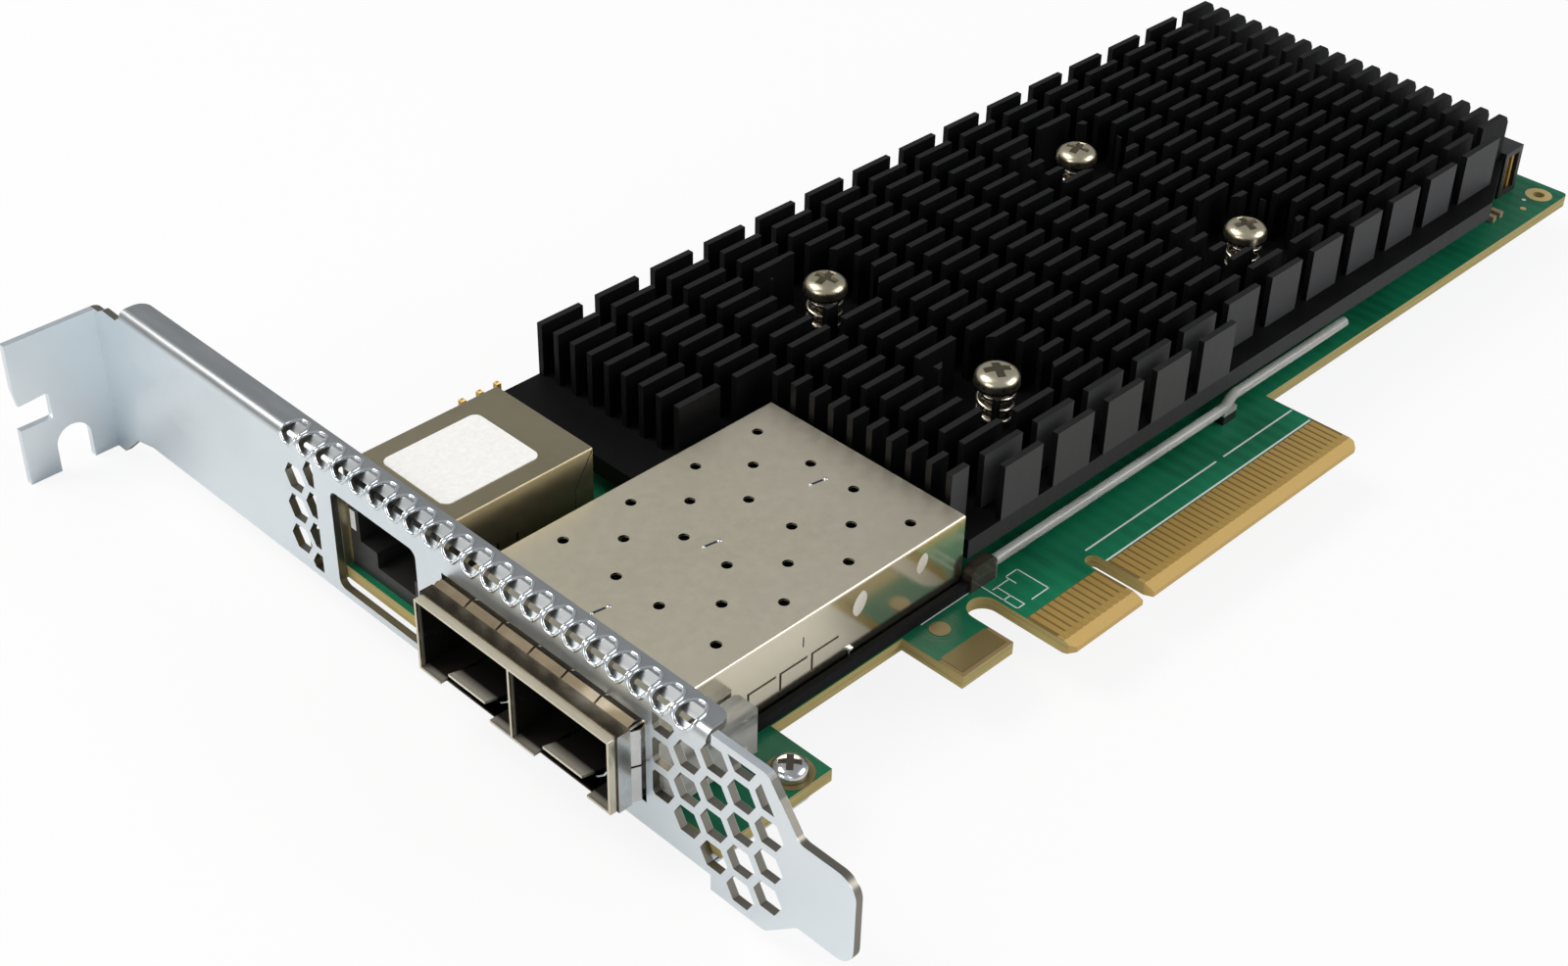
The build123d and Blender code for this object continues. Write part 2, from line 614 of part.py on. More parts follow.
def make_bracket_screws():
    screws = []
    for (x, y), seat in ((EAR_SCREW, TOP + PAD_T), (TOP_SCREW, TOP)):
        head = rod(x, y, seat, seat + BRACKET_SCREW_HEAD_H, BRACKET_SCREW_HEAD_R)
        head = chamfer(head.edges().sort_by(Axis.Z)[-1], BRACKET_SCREW_HEAD_H * 0.35)
        top = seat + BRACKET_SCREW_HEAD_H
        for turn in (0, 90):
            arm = Box(BRACKET_SCREW_HEAD_R * 1.1, RECESS_W * 0.8, RECESS_DEPTH * 2)
            head -= Pos(x, y, top) * Rot(0, 0, turn + 20) * arm
        shank = rod(x, y, -TOP - BRACKET_T - BRACKET_SCREW_REACH, seat, BRACKET_SCREW_R)
        screws.append(head + shank)
    return solids(*screws)


def make_cage_shell():
    w = CAGE_WALL
    shell = block(CAGE_X0, CAGE_X1, CAGE_Y0, CAGE_Y1, CAGE_Z0, CAGE_Z1)
    shell = fillet(shell.edges().filter_by(Axis.X).sort_by(Axis.Z)[-2:], CAGE_BEND_R)
    shell -= block(CAGE_X0 - 1, CAGE_X1 - w, CAGE_Y0 + w, CAGE_Y1 - w, CAGE_Z0 - 1, CAGE_Z1 - w)
    # Vent holes, in rows that are staggered by half a pitch
    for port in range(PORTS):
        middle = CAGE_Y0 + PORT_PITCH * (port + 0.5)
        for row in range(CAGE_VENT_ROWS):
            count = CAGE_VENT_LONG_ROW - row % 2
            for i in range(count):
                x = CAGE_X0 + CAGE_VENT_X + (i + (row % 2) / 2) * CAGE_VENT_PITCH
                y = middle + (row - 1) * CAGE_VENT_ROW
                shell -= rod(x, y, CAGE_Z1 - 1, CAGE_Z1 + 1, CAGE_VENT_R)
    # Lanced slits in both long sides
    for i in range(CAGE_SLITS):
        x = CAGE_X0 + CAGE_SLIT_X + i * CAGE_SLIT_PITCH
        z = CAGE_Z0 + CAGE_SLIT_Z
        for y in (CAGE_Y0, CAGE_Y1 - w):
            shell -= block(x, x + CAGE_SLIT_L, y - 1, y + w + 1, z - CAGE_SLIT_W, z)
            shell -= block(x, x + CAGE_SLIT_W, y - 1, y + w + 1, z - CAGE_SLIT_DROP, z)
    # Press-fit pins
    for x, y in cage_pin_places():
        half = CAGE_PIN_W / 2
        shell += block(x - half, x + half, y - w / 2, y + w / 2, -TOP - PIN_OUT, CAGE_Z0 + 0.5)
    return shell


def make_cage_divider():
    """The wall between two ports, between the floor and the top."""
    w = CAGE_WALL
    walls = []
    for port in range(1, PORTS):
        y = CAGE_Y0 + PORT_PITCH * port
        walls.append(block(CAGE_X0, CAGE_X1 - w, y - w / 2, y + w / 2, CAGE_Z0 + w, CAGE_Z1 - w))
    return solids(*walls)


def make_cage_floor():
    """The bottom sheet, with a latch tongue bent up in each port."""
    w = CAGE_WALL
    floor = block(CAGE_X0, CAGE_X1 - w, CAGE_Y0 + w, CAGE_Y1 - w, CAGE_Z0, CAGE_Z0 + w)
    for port in range(PORTS):
        y = CAGE_Y0 + PORT_PITCH * (port + 0.5)
        half = LATCH_W / 2 + LATCH_GAP
        x_end = CAGE_X0 + LATCH_LENGTH
        floor -= block(CAGE_X0 - 1, x_end, y - half, y + half, CAGE_Z0 - 1, CAGE_Z0 + 1)
        # Openings over the contacts of the port's connector
        seat_x = CAGE_X1 - w - PORT_CONN_BACK
        room = block(
            seat_x - PORT_CONN_LENGTH - 0.3,
            CAGE_X1 - w + 1,
            y - PORT_CONN_W / 2 - 0.3,
            y + PORT_CONN_W / 2 + 0.3,
            CAGE_Z0 - 1,
            CAGE_Z0 + 1,
        )
        floor -= room
        rise = LATCH_RISE
        tongue = along_y(
            [
                (x_end, CAGE_Z0),
                (x_end - LATCH_LENGTH * 0.35, CAGE_Z0),
                (CAGE_X0 + 0.3, CAGE_Z0 + rise),
                (CAGE_X0 + 0.3, CAGE_Z0 + rise + w),
                (x_end - LATCH_LENGTH * 0.35, CAGE_Z0 + w),
                (x_end, CAGE_Z0 + w),
            ],
            y - LATCH_W / 2,
            y + LATCH_W / 2,
        )
        floor += tongue
    return floor


def make_collar():
    """A thin sleeve round the nose, with spring fingers that lean on the bracket."""
    t = COLLAR_T
    x0 = CAGE_X0 + COLLAR_FROM_FRONT
    x1 = x0 + COLLAR_LENGTH
    ring = block(x0, x1, CAGE_Y0 - t, CAGE_Y1 + t, CAGE_Z0 - t, CAGE_Z1 + t)
    ring -= block(x0 - 1, x1 + 1, CAGE_Y0, CAGE_Y1, CAGE_Z0, CAGE_Z1)
    tip = x1 + FINGER_LENGTH
    crest = x1 + FINGER_LENGTH * 0.5
    band = [
        (x1, 0.0),
        (crest, FINGER_CREST),
        (tip, 0.05),
        (tip, 0.05 + t * 0.7),
        (crest, FINGER_CREST + t * 0.8),
        (x1, t),
    ]
    fingers = []
    pitch = CAGE_W / FINGERS_TOP
    for i in range(FINGERS_TOP):
        y0 = CAGE_Y0 + i * pitch + FINGER_GAP / 2
        y1 = CAGE_Y0 + (i + 1) * pitch - FINGER_GAP / 2
        fingers.append(along_y([(x, CAGE_Z1 + h) for x, h in band], y0, y1))
        fingers.append(along_y([(x, CAGE_Z0 - h) for x, h in band], y0, y1))
    pitch = CAGE_H / FINGERS_SIDE
    for i in range(FINGERS_SIDE):
        z0 = CAGE_Z0 + i * pitch + FINGER_GAP / 2
        z1 = CAGE_Z0 + (i + 1) * pitch - FINGER_GAP / 2
        fingers.append(flat_shape([(x, CAGE_Y0 - h) for x, h in band], z0, z1))
        fingers.append(flat_shape([(x, CAGE_Y1 + h) for x, h in band], z0, z1))
    for finger in fingers:
        ring += finger
    return ring


def make_port_connectors():
    """The card connector at the back of each port, and its contacts."""
    bodies, contacts = [], []
    x1 = CAGE_X1 - CAGE_WALL - PORT_CONN_BACK
    x0 = x1 - PORT_CONN_LENGTH
    z_mid = TOP + PORT_CONN_H * 0.55
    for port in range(PORTS):
        y = CAGE_Y0 + PORT_PITCH * (port + 0.5)
        body = block(x0, x1, y - PORT_CONN_W / 2, y + PORT_CONN_W / 2, TOP, TOP + PORT_CONN_H)
        body = chamfer(body.edges().filter_by(Axis.Y).sort_by(Axis.X)[:2], 0.8)
        half_h = PORT_CONN_SLOT_H / 2
        half_w = PORT_CONN_SLOT_W / 2
        slot_x1 = x0 + PORT_CONN_SLOT_DEPTH
        body -= block(x0 - 1, slot_x1, y - half_w, y + half_w, z_mid - half_h, z_mid + half_h)
        bodies.append(body)
        for i in range(PORT_CONTACTS):
            cy = y + (i - (PORT_CONTACTS - 1) / 2) * PORT_CONTACT_PITCH
            for z in (z_mid + half_h - PORT_CONTACT_T, z_mid - half_h):
                contacts.append(
                    block(
                        x0 + 1,
                        x0 + PORT_CONN_SLOT_DEPTH,
                        cy - PORT_CONTACT_W / 2,
                        cy + PORT_CONTACT_W / 2,
                        z,
                        z + PORT_CONTACT_T,
                    )
                )
    return solids(*bodies), solids(*contacts)


def make_jack():
    """Shield, housing, contacts and light windows of the eight-pin jack."""
    t = JACK_SHIELD_T
    shield = block(JACK_X0, JACK_X1, JACK_Y0, JACK_Y1, TOP, JACK_Z1)
    shield = fillet(shield.edges().filter_by(Axis.X).sort_by(Axis.Z)[-2:], t * 0.9)
    shield -= block(JACK_X0 - 1, JACK_X1 - t, JACK_Y0 + t, JACK_Y1 - t, TOP - 1, JACK_Z1 - t)
    for x, y in jack_tab_places():
        half = CAGE_PIN_W / 2
        shield += block(x - half, x + half, y - t / 2, y + t / 2, -TOP - PIN_OUT, TOP + 0.5)
    # Slits beside the ground springs
    for y in (JACK_Y0, JACK_Y1):
        for dx in (-1.3, 1.3):
            x = JACK_X0 + JACK_TAB_X - 6 + dx
            shield -= block(x - 0.15, x + 0.15, y - 1, y + 1, TOP + 2.5, TOP + 7.5)

    hx1 = JACK_X1 - t
    housing = block(JACK_X0, hx1, JACK_Y0 + t, JACK_Y1 - t, TOP, JACK_Z1 - t)
    cz0 = TOP + JACK_CAVITY_Z
    cz1 = cz0 + JACK_CAVITY_H
    deep = JACK_X0 + JACK_CAVITY_DEPTH
    half = JACK_CAVITY_W / 2
    housing -= block(JACK_X0 - 1, deep, JACK_Y - half, JACK_Y + half, cz0, cz1)
    half = JACK_LATCH_W / 2
    housing -= block(JACK_X0 - 1, deep, JACK_Y - half, JACK_Y + half, cz0 - JACK_LATCH_H, cz0 + 1)
    windows = []
    for side in (-1, 1):
        wy = JACK_Y + side * (JACK_W / 2 - t - JACK_WINDOW_W / 2 - JACK_WINDOW_EDGE)
        wz1 = TOP + JACK_WINDOW_RISE + JACK_WINDOW_H
        y0, y1 = wy - JACK_WINDOW_W / 2, wy + JACK_WINDOW_W / 2
        housing -= block(JACK_X0 - 1, JACK_X0 + JACK_WINDOW_DEPTH, y0, y1, wz1 - JACK_WINDOW_H, wz1)
        windows.append(block(JACK_X0, JACK_X0 + JACK_WINDOW_DEPTH, y0, y1, wz1 - JACK_WINDOW_H, wz1))
        peg_y = JACK_Y + side * JACK_PEG_SPREAD / 2
        housing += rod(JACK_X0 + JACK_PEG_X, peg_y, -TOP - PIN_OUT, TOP + 0.5, JACK_PEG_R)

    # Contacts spring down from the cavity's ceiling, towards the front
    contacts = []
    band = [
        (deep, cz1 - 0.5),
        (deep, cz1),
        (JACK_X0 + 4.5, cz1),
        (JACK_X0 + 4.0, cz1 - JACK_CONTACT_T),
        (JACK_X0 + 4.6, cz1 - JACK_CONTACT_T),
        (deep - 1.5, cz1 - 3.0),
        (deep - 1.2, cz1 - 2.7),
        (JACK_X0 + 6.0, cz1 - JACK_CONTACT_T),
    ]
    for i in range(JACK_CONTACTS):
        y = JACK_Y + (i - (JACK_CONTACTS - 1) / 2) * JACK_CONTACT_PITCH
        contacts.append(along_y(band, y - JACK_CONTACT_T / 2, y + JACK_CONTACT_T / 2))
    return shield, housing, solids(*contacts), solids(*windows)


def make_label():
    x0 = JACK_X0 + LABEL_FROM_FRONT
    y0 = JACK_Y0 + LABEL_SIDE
    label = block(x0, x0 + LABEL_L, y0, y0 + LABEL_W, JACK_Z1, JACK_Z1 + LABEL_T)
    return fillet(label.edges().filter_by(Axis.Z), LABEL_R)


def pipe_line():
    """Middle line of the light pipe along the heat sink."""
    y = BOARD_LOWER_Y - PIPE_Y_OUT
    z = TOP + PIPE_LIFT + PIPE_R
    start = CAGE_X1 + PIPE_LUMP_L - 0.4
    return [
        (start, y, z),
        (PIPE_REACH - 3.0, y, z),
        (PIPE_REACH, y + PIPE_SHIFT, z),
        (PIPE_END, y + PIPE_SHIFT, z),
    ]


def make_light_pipe():
    """Clear pipe: a block behind the bracket, a sleeved run and a round bar."""
    points = pipe_line()
    path = FilletPolyline(*points, radius=2.5)
    bar = sweep(Plane(origin=points[0], z_dir=(1, 0, 0)) * Circle(PIPE_R), path=path)
    bar = chamfer(bar.edges().sort_by(Axis.X)[-1], PIPE_R * 0.45)
    _, y, z = points[0]
    y0, y1 = CAGE_Y0 - PIPE_BLOCK_GAP - PIPE_BLOCK_W, CAGE_Y0 - PIPE_BLOCK_GAP
    block_x1 = BRACKET_IN + 0.1 + PIPE_BLOCK_L
    head = block(BRACKET_IN + 0.1, block_x1, y0, y1, TOP + PIPE_BLOCK_LIFT, TOP + PIPE_BLOCK_H)
    head = chamfer(head.edges().filter_by(Axis.Z).sort_by(Axis.X)[-2:], 0.35)
    run_y1 = CAGE_Y0 - PIPE_BLOCK_GAP
    run_y0 = run_y1 - SLEEVE_T + 0.2
    run = block(block_x1 - 0.5, CAGE_X1 + 0.6, run_y0, run_y1 - 0.2, TOP + 0.3, TOP + SLEEVE_H - 0.3)
    lump_x1 = CAGE_X1 + PIPE_LUMP_L
    lump = block(CAGE_X1 + 0.3, lump_x1, y - PIPE_R, y + PIPE_R, TOP, TOP + PIPE_LUMP_H)
    lump = fillet(lump.edges().filter_by(Axis.Y).sort_by(Axis.Z)[-2:], 1.2)
    half = PIPE_PEG_L / 2
    peg = block(PIPE_PEG_X - half, PIPE_PEG_X + half, y - PIPE_R, y + PIPE_R, TOP, z)
    return bar + lump + run + head + peg


def make_sleeve():
    """Dark channel round the light pipe's run at the cage's foot."""
    x0 = BRACKET_IN + 0.1 + PIPE_BLOCK_L
    y1 = CAGE_Y0 - PIPE_BLOCK_GAP
    sleeve = block(x0, CAGE_X1 + 0.3, y1 - SLEEVE_T, y1, TOP, TOP + SLEEVE_H)
    z0, z1 = TOP + 0.3, TOP + SLEEVE_H - 0.3
    return sleeve - block(x0 - 1, CAGE_X1 + 1, y1 - SLEEVE_T + 0.2, y1 - 0.2, z0, z1)


def make_heat_sink():
    """A plate with rows of thin fins, cut across so that air passes both ways."""
    cage_x = CAGE_X1 + SINK_CAGE_GAP
    cage_y = CAGE_Y1 + SINK_CAGE_GAP
    sink = flat_shape(
        [
            (SINK_FIN_X0 - SINK_PLATEAU, cage_y),
            (cage_x, cage_y),
            (cage_x, SINK_Y0),
            (SINK_X1 - SINK_CORNER_X, SINK_Y0),
            (SINK_X1, SINK_Y0 + SINK_CORNER_Y),
            (SINK_X1, SINK_Y1),
            (SINK_FIN_X0 - SINK_PLATEAU, SINK_Y1),
        ],
        BASE_Z0,
        BASE_Z1,
    )
    root = BASE_Z1 - 0.2
    fins = []
    for row in range(FIN_ROWS):
        y0 = SINK_Y0 + row * FIN_ROW_PITCH
        for column in range(FIN_COLUMNS):
            x0 = SINK_FIN_X0 + column * FIN_PITCH
            last = column == FIN_COLUMNS - 1
            x1 = LAST_FIN_X1 if last else x0 + FIN_L
            if row == 1 and column == FIN_COLUMNS - 2:
                x1 = x0 + LONG_FIN_L
            if y0 < cage_y:
                x0 = max(x0, cage_x)
            if x1 - x0 < 1.0:
                continue
            if row == 0 and not 2 <= column < 2 + NEAR_ROW_COLUMNS:
                continue
            if row == 1 and last:
                continue
            if last:
                c = FIN_TOP_CHAMFER
                side = [
                    (x0, root),
                    (x1, root),
                    (x1, FIN_TOP - c),
                    (x1 - c * 0.4, FIN_TOP - c * 0.35),
                    (x1 - c, FIN_TOP),
                    (x0, FIN_TOP),
                ]
                fins.append(along_y(side, y0, y0 + FIN_T))
            else:
                fins.append(block(x0, x1, y0, y0 + FIN_T, root, FIN_TOP))
    for x, y in SINK_SCREWS:
        pocket = rod(x, y, BASE_Z1, FIN_TOP + 1, POCKET_R)
        kept = []
        for fin in fins:
            b = fin.bounding_box()
            beside_x = b.max.X < x - POCKET_R or b.min.X > x + POCKET_R
            beside_y = b.max.Y < y - POCKET_R or b.min.Y > y + POCKET_R
            if beside_x or beside_y:
                kept.append(fin)
                continue
            for piece in (fin - pocket).solids():
                if piece.bounding_box().size.Z > BASE_T:
                    kept.append(piece)
        fins = kept
    sink = sink.fuse(*[s for fin in fins for s in fin.solids()])
    for x, y in SINK_SCREWS:
        sink -= rod(x, y, BASE_Z0 - 1, BASE_Z1 + 1, SINK_HOLE_R)
    return sink


def make_sink_screws():
    screws, springs, spacers = [], [], []
    top = FIN_TOP - SINK_SCREW_TOP
    seat = top - SINK_SCREW_HEAD_H
    under = seat - SINK_SCREW_COLLAR_H
    for x, y in SINK_SCREWS:
        head = rod(x, y, seat, top, SINK_SCREW_HEAD_R)
        head = chamfer(head.edges().sort_by(Axis.Z)[-1], SINK_SCREW_HEAD_H * 0.3)
        for turn in (0, 90):
            arm = Box(SINK_SCREW_HEAD_R * 1.15, RECESS_W, RECESS_DEPTH * 2)
            head -= Pos(x, y, top) * Rot(0, 0, turn + 30) * arm
        collar = rod(x, y, under, seat + 0.1, SINK_SCREW_COLLAR_R)
        shank = rod(x, y, -TOP + 0.2, under, SINK_SCREW_R)
        screws.append(head + collar + shank)
        spacer = rod(x, y, TOP, BASE_Z0, SPACER_R)
        spacers.append(spacer - rod(x, y, TOP - 1, BASE_Z0 + 1, SINK_SCREW_R))
        height = under - BASE_Z1 - 2 * SPRING_WIRE_R
        coil = Helix(pitch=height / SPRING_TURNS, height=height, radius=SPRING_R)
        end = Plane(origin=coil @ 0, z_dir=coil % 0)
        wire = sweep(end * RegularPolygon(SPRING_WIRE_R, 4), path=coil, is_frenet=True)
        springs.append(Pos(x, y, BASE_Z1 + SPRING_WIRE_R) * wire)
    return solids(*screws), solids(*springs), solids(*spacers)


def make_chip():
    x, y = CHIP_X, CHIP_Y
    z1 = TOP + CHIP_SUBSTRATE_H
    z2 = z1 + CHIP_LID_H
    half, lid = CHIP_W / 2, CHIP_LID_W / 2
    chip = block(x - half, x + half, y - half, y + half, TOP, z1)
    chip += block(x - lid, x + lid, y - lid, y + lid, z1, z2)
    paste = block(x - lid, x + lid, y - lid, y + lid, z2, z2 + PASTE_T)
    return chip, paste


def make_rear_connector():
    """Open-ended socket near the far edge, with two rows of gold pins."""
    x0, x1 = REAR_X0, REAR_X1
    y0 = BOARD_LOWER_Y + REAR_LOW_Y
    y1 = y0 + REAR_W
    z1 = TOP + REAR_H
    w = REAR_WALL
    body = block(x0, x1, y0, y1, TOP, z1)
    body -= block(x0 + w, x1 - w, y0 - 1, y1 - w, TOP + w, z1 - w)
    pins = []
    for i in range(REAR_PINS):
        y = y0 + 0.6 + i * REAR_PIN_PITCH
        for side in (-1, 1):
            x = (x0 + x1) / 2 + side * REAR_ROW_PITCH / 2
            half = REAR_PIN_W / 2
            pins.append(block(x - half, x + half, y - 0.2, y + 0.2, TOP + w, z1 - w))
    return body, solids(*pins)


def make_header():
    x0 = BRACKET_X + HEADER_X
    y = BOARD_HEIGHT - HEADER_EDGE
    half = HEADER_BODY / 2
    end = x0 + (HEADER_PINS - 1) * HEADER_PITCH
    body = block(x0 - half, end + half, y - half, y + half, TOP, TOP + HEADER_BODY)
    pins = []
    for i in range(HEADER_PINS):
        x = x0 + i * HEADER_PITCH
        h = HEADER_PIN_W / 2
        body -= block(x - h, x + h, y - h, y + h, TOP - 1, TOP + HEADER_BODY + 1)
        pin = block(x - h, x + h, y - h, y + h, TOP, TOP + HEADER_PIN_H)
        pins.append(chamfer(pin.faces().sort_by(Axis.Z)[-1].edges(), 0.15))
    return body, solids(*pins)


def make_capacitors():
    x0 = BOARD_X1 - CAP_FROM_END
    y0 = BOARD_LOWER_Y + CAP_RISE
    parts = []
    for i in range(CAP_COUNT):
        x = x0 + i * CAP_PITCH
        parts.append(block(x, x + CAP_W, y0, y0 + CAP_L, TOP, TOP + CAP_H))
    return solids(*parts)


save("circuit_board", make_board())
save("edge_contacts", make_edge_contacts())
save("board_pads", make_board_pads())
save("mounting_bracket", make_bracket())
save("bracket_screws", make_bracket_screws())
save("cage_shell", make_cage_shell())
save("cage_divider", make_cage_divider())
save("cage_floor", make_cage_floor())
save("cage_spring_collar", make_collar())
port_bodies, port_contacts = make_port_connectors()
save("port_connectors", port_bodies)
save("port_contacts", port_contacts)
jack_shield, jack_housing, jack_contacts, jack_windows = make_jack()
save("jack_shield", jack_shield)
save("jack_housing", jack_housing)
save("jack_contacts", jack_contacts)
save("jack_windows", jack_windows)
save("jack_label", make_label())
save("light_pipe", make_light_pipe())
save("light_pipe_sleeve", make_sleeve())
save("heat_sink", make_heat_sink())
sink_screws, sink_springs, sink_spacers = make_sink_screws()
save("heat_sink_screws", sink_screws)
save("heat_sink_springs", sink_springs)
save("heat_sink_spacers", sink_spacers)
chip, paste = make_chip()
save("processor", chip)
save("thermal_pad", paste)
rear_body, rear_pins = make_rear_connector()
save("rear_connector", rear_body)
save("rear_connector_pins", rear_pins)
header_body, header_pins = make_header()
save("pin_header", header_body)
save("pin_header_pins", header_pins)
save("capacitors", make_capacitors())
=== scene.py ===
import json
import math
from collections import namedtuple
from functools import cached_property
import bpy
import bmesh
from mathutils import Matrix, Vector


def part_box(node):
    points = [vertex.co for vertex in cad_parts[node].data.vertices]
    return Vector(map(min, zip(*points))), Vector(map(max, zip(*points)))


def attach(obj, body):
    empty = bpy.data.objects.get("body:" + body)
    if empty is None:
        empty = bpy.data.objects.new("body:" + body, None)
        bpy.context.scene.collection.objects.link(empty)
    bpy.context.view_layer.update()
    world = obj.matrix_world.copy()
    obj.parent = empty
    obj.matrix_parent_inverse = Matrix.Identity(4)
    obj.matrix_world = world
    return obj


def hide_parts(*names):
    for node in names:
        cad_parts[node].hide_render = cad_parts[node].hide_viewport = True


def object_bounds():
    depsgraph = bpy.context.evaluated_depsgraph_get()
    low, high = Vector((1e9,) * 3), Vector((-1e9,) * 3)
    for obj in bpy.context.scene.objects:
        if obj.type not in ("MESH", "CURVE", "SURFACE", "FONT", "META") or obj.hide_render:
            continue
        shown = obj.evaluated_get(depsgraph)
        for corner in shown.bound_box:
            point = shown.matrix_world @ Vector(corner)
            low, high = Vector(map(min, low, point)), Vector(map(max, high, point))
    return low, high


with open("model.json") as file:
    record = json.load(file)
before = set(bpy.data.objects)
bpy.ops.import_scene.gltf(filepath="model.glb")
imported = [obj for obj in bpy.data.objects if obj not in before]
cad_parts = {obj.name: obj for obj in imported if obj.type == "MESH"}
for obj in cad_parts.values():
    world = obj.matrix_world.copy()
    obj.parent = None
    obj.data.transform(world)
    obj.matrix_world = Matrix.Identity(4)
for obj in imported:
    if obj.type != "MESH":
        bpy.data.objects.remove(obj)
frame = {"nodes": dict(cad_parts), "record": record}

cad_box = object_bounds()
nodes = frame["nodes"]
MM = 0.001


def box_mm(node):
    """A node's lowest and highest corners, in millimetres."""
    return [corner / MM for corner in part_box(node)]


# Places and sizes shared with the solids, in millimetres
BOARD_TOP, PAD_THICK = 0.785, 0.05
TONGUE_X, BARE_TOP_Y, CONTACT_FOOT_Y, BEVEL_TOP_Y = -12.6, 6.25, 2.1, 1.30
LUG_PAD_X0, LUG_PAD_X1, LUG_PAD_TOP_Y = -25.0, -16.3, 8.0
FAR_PAD_X = 90.0
SINK_BASE_Z, FIN_TOP_Z, SECOND_ROW_Y = 6.8, 13.72, 17.2
PLATE_OUT_X, PLATE_IN_X = -59.05, -58.19
FLANGE_TOP_Z, FLANGE_Y, BEND_OUT_R = 14.90, 5.6, 1.06
BEND_Z = FLANGE_TOP_Z - BEND_OUT_R - 0.04
BEND_VENTS, BEND_VENT_Y0, BEND_VENT_PITCH = 21, 8.7, 3.0
BEND_VENT_LOW, BEND_VENT_HIGH, BEND_VENT_HALF_W, BEND_VENT_CORNER = -0.90, 1.80, 1.175, 0.675
BEND_VENT_END_X = -55.8
VENT_FLAT, CORNER_VENT_Y, CORNER_VENT_Z, CORNER_SLOPE_Y = 3.15, -2.4704, 12.45, 1.143
CAGE_WALL, LATCH_HALF_W, LATCH_BRIGHT_X = 0.2, 2.8, -62.2
PIPE_BULB = (-14.1, -9.9)
PIPE_FOOT_X, PIPE_FOOT_Z = 29.0, 1.90
JACK_TAB_X = 14.6
cage_lo, cage_hi = box_mm("cage_shell")
jack_lo, jack_hi = box_mm("jack_shield")


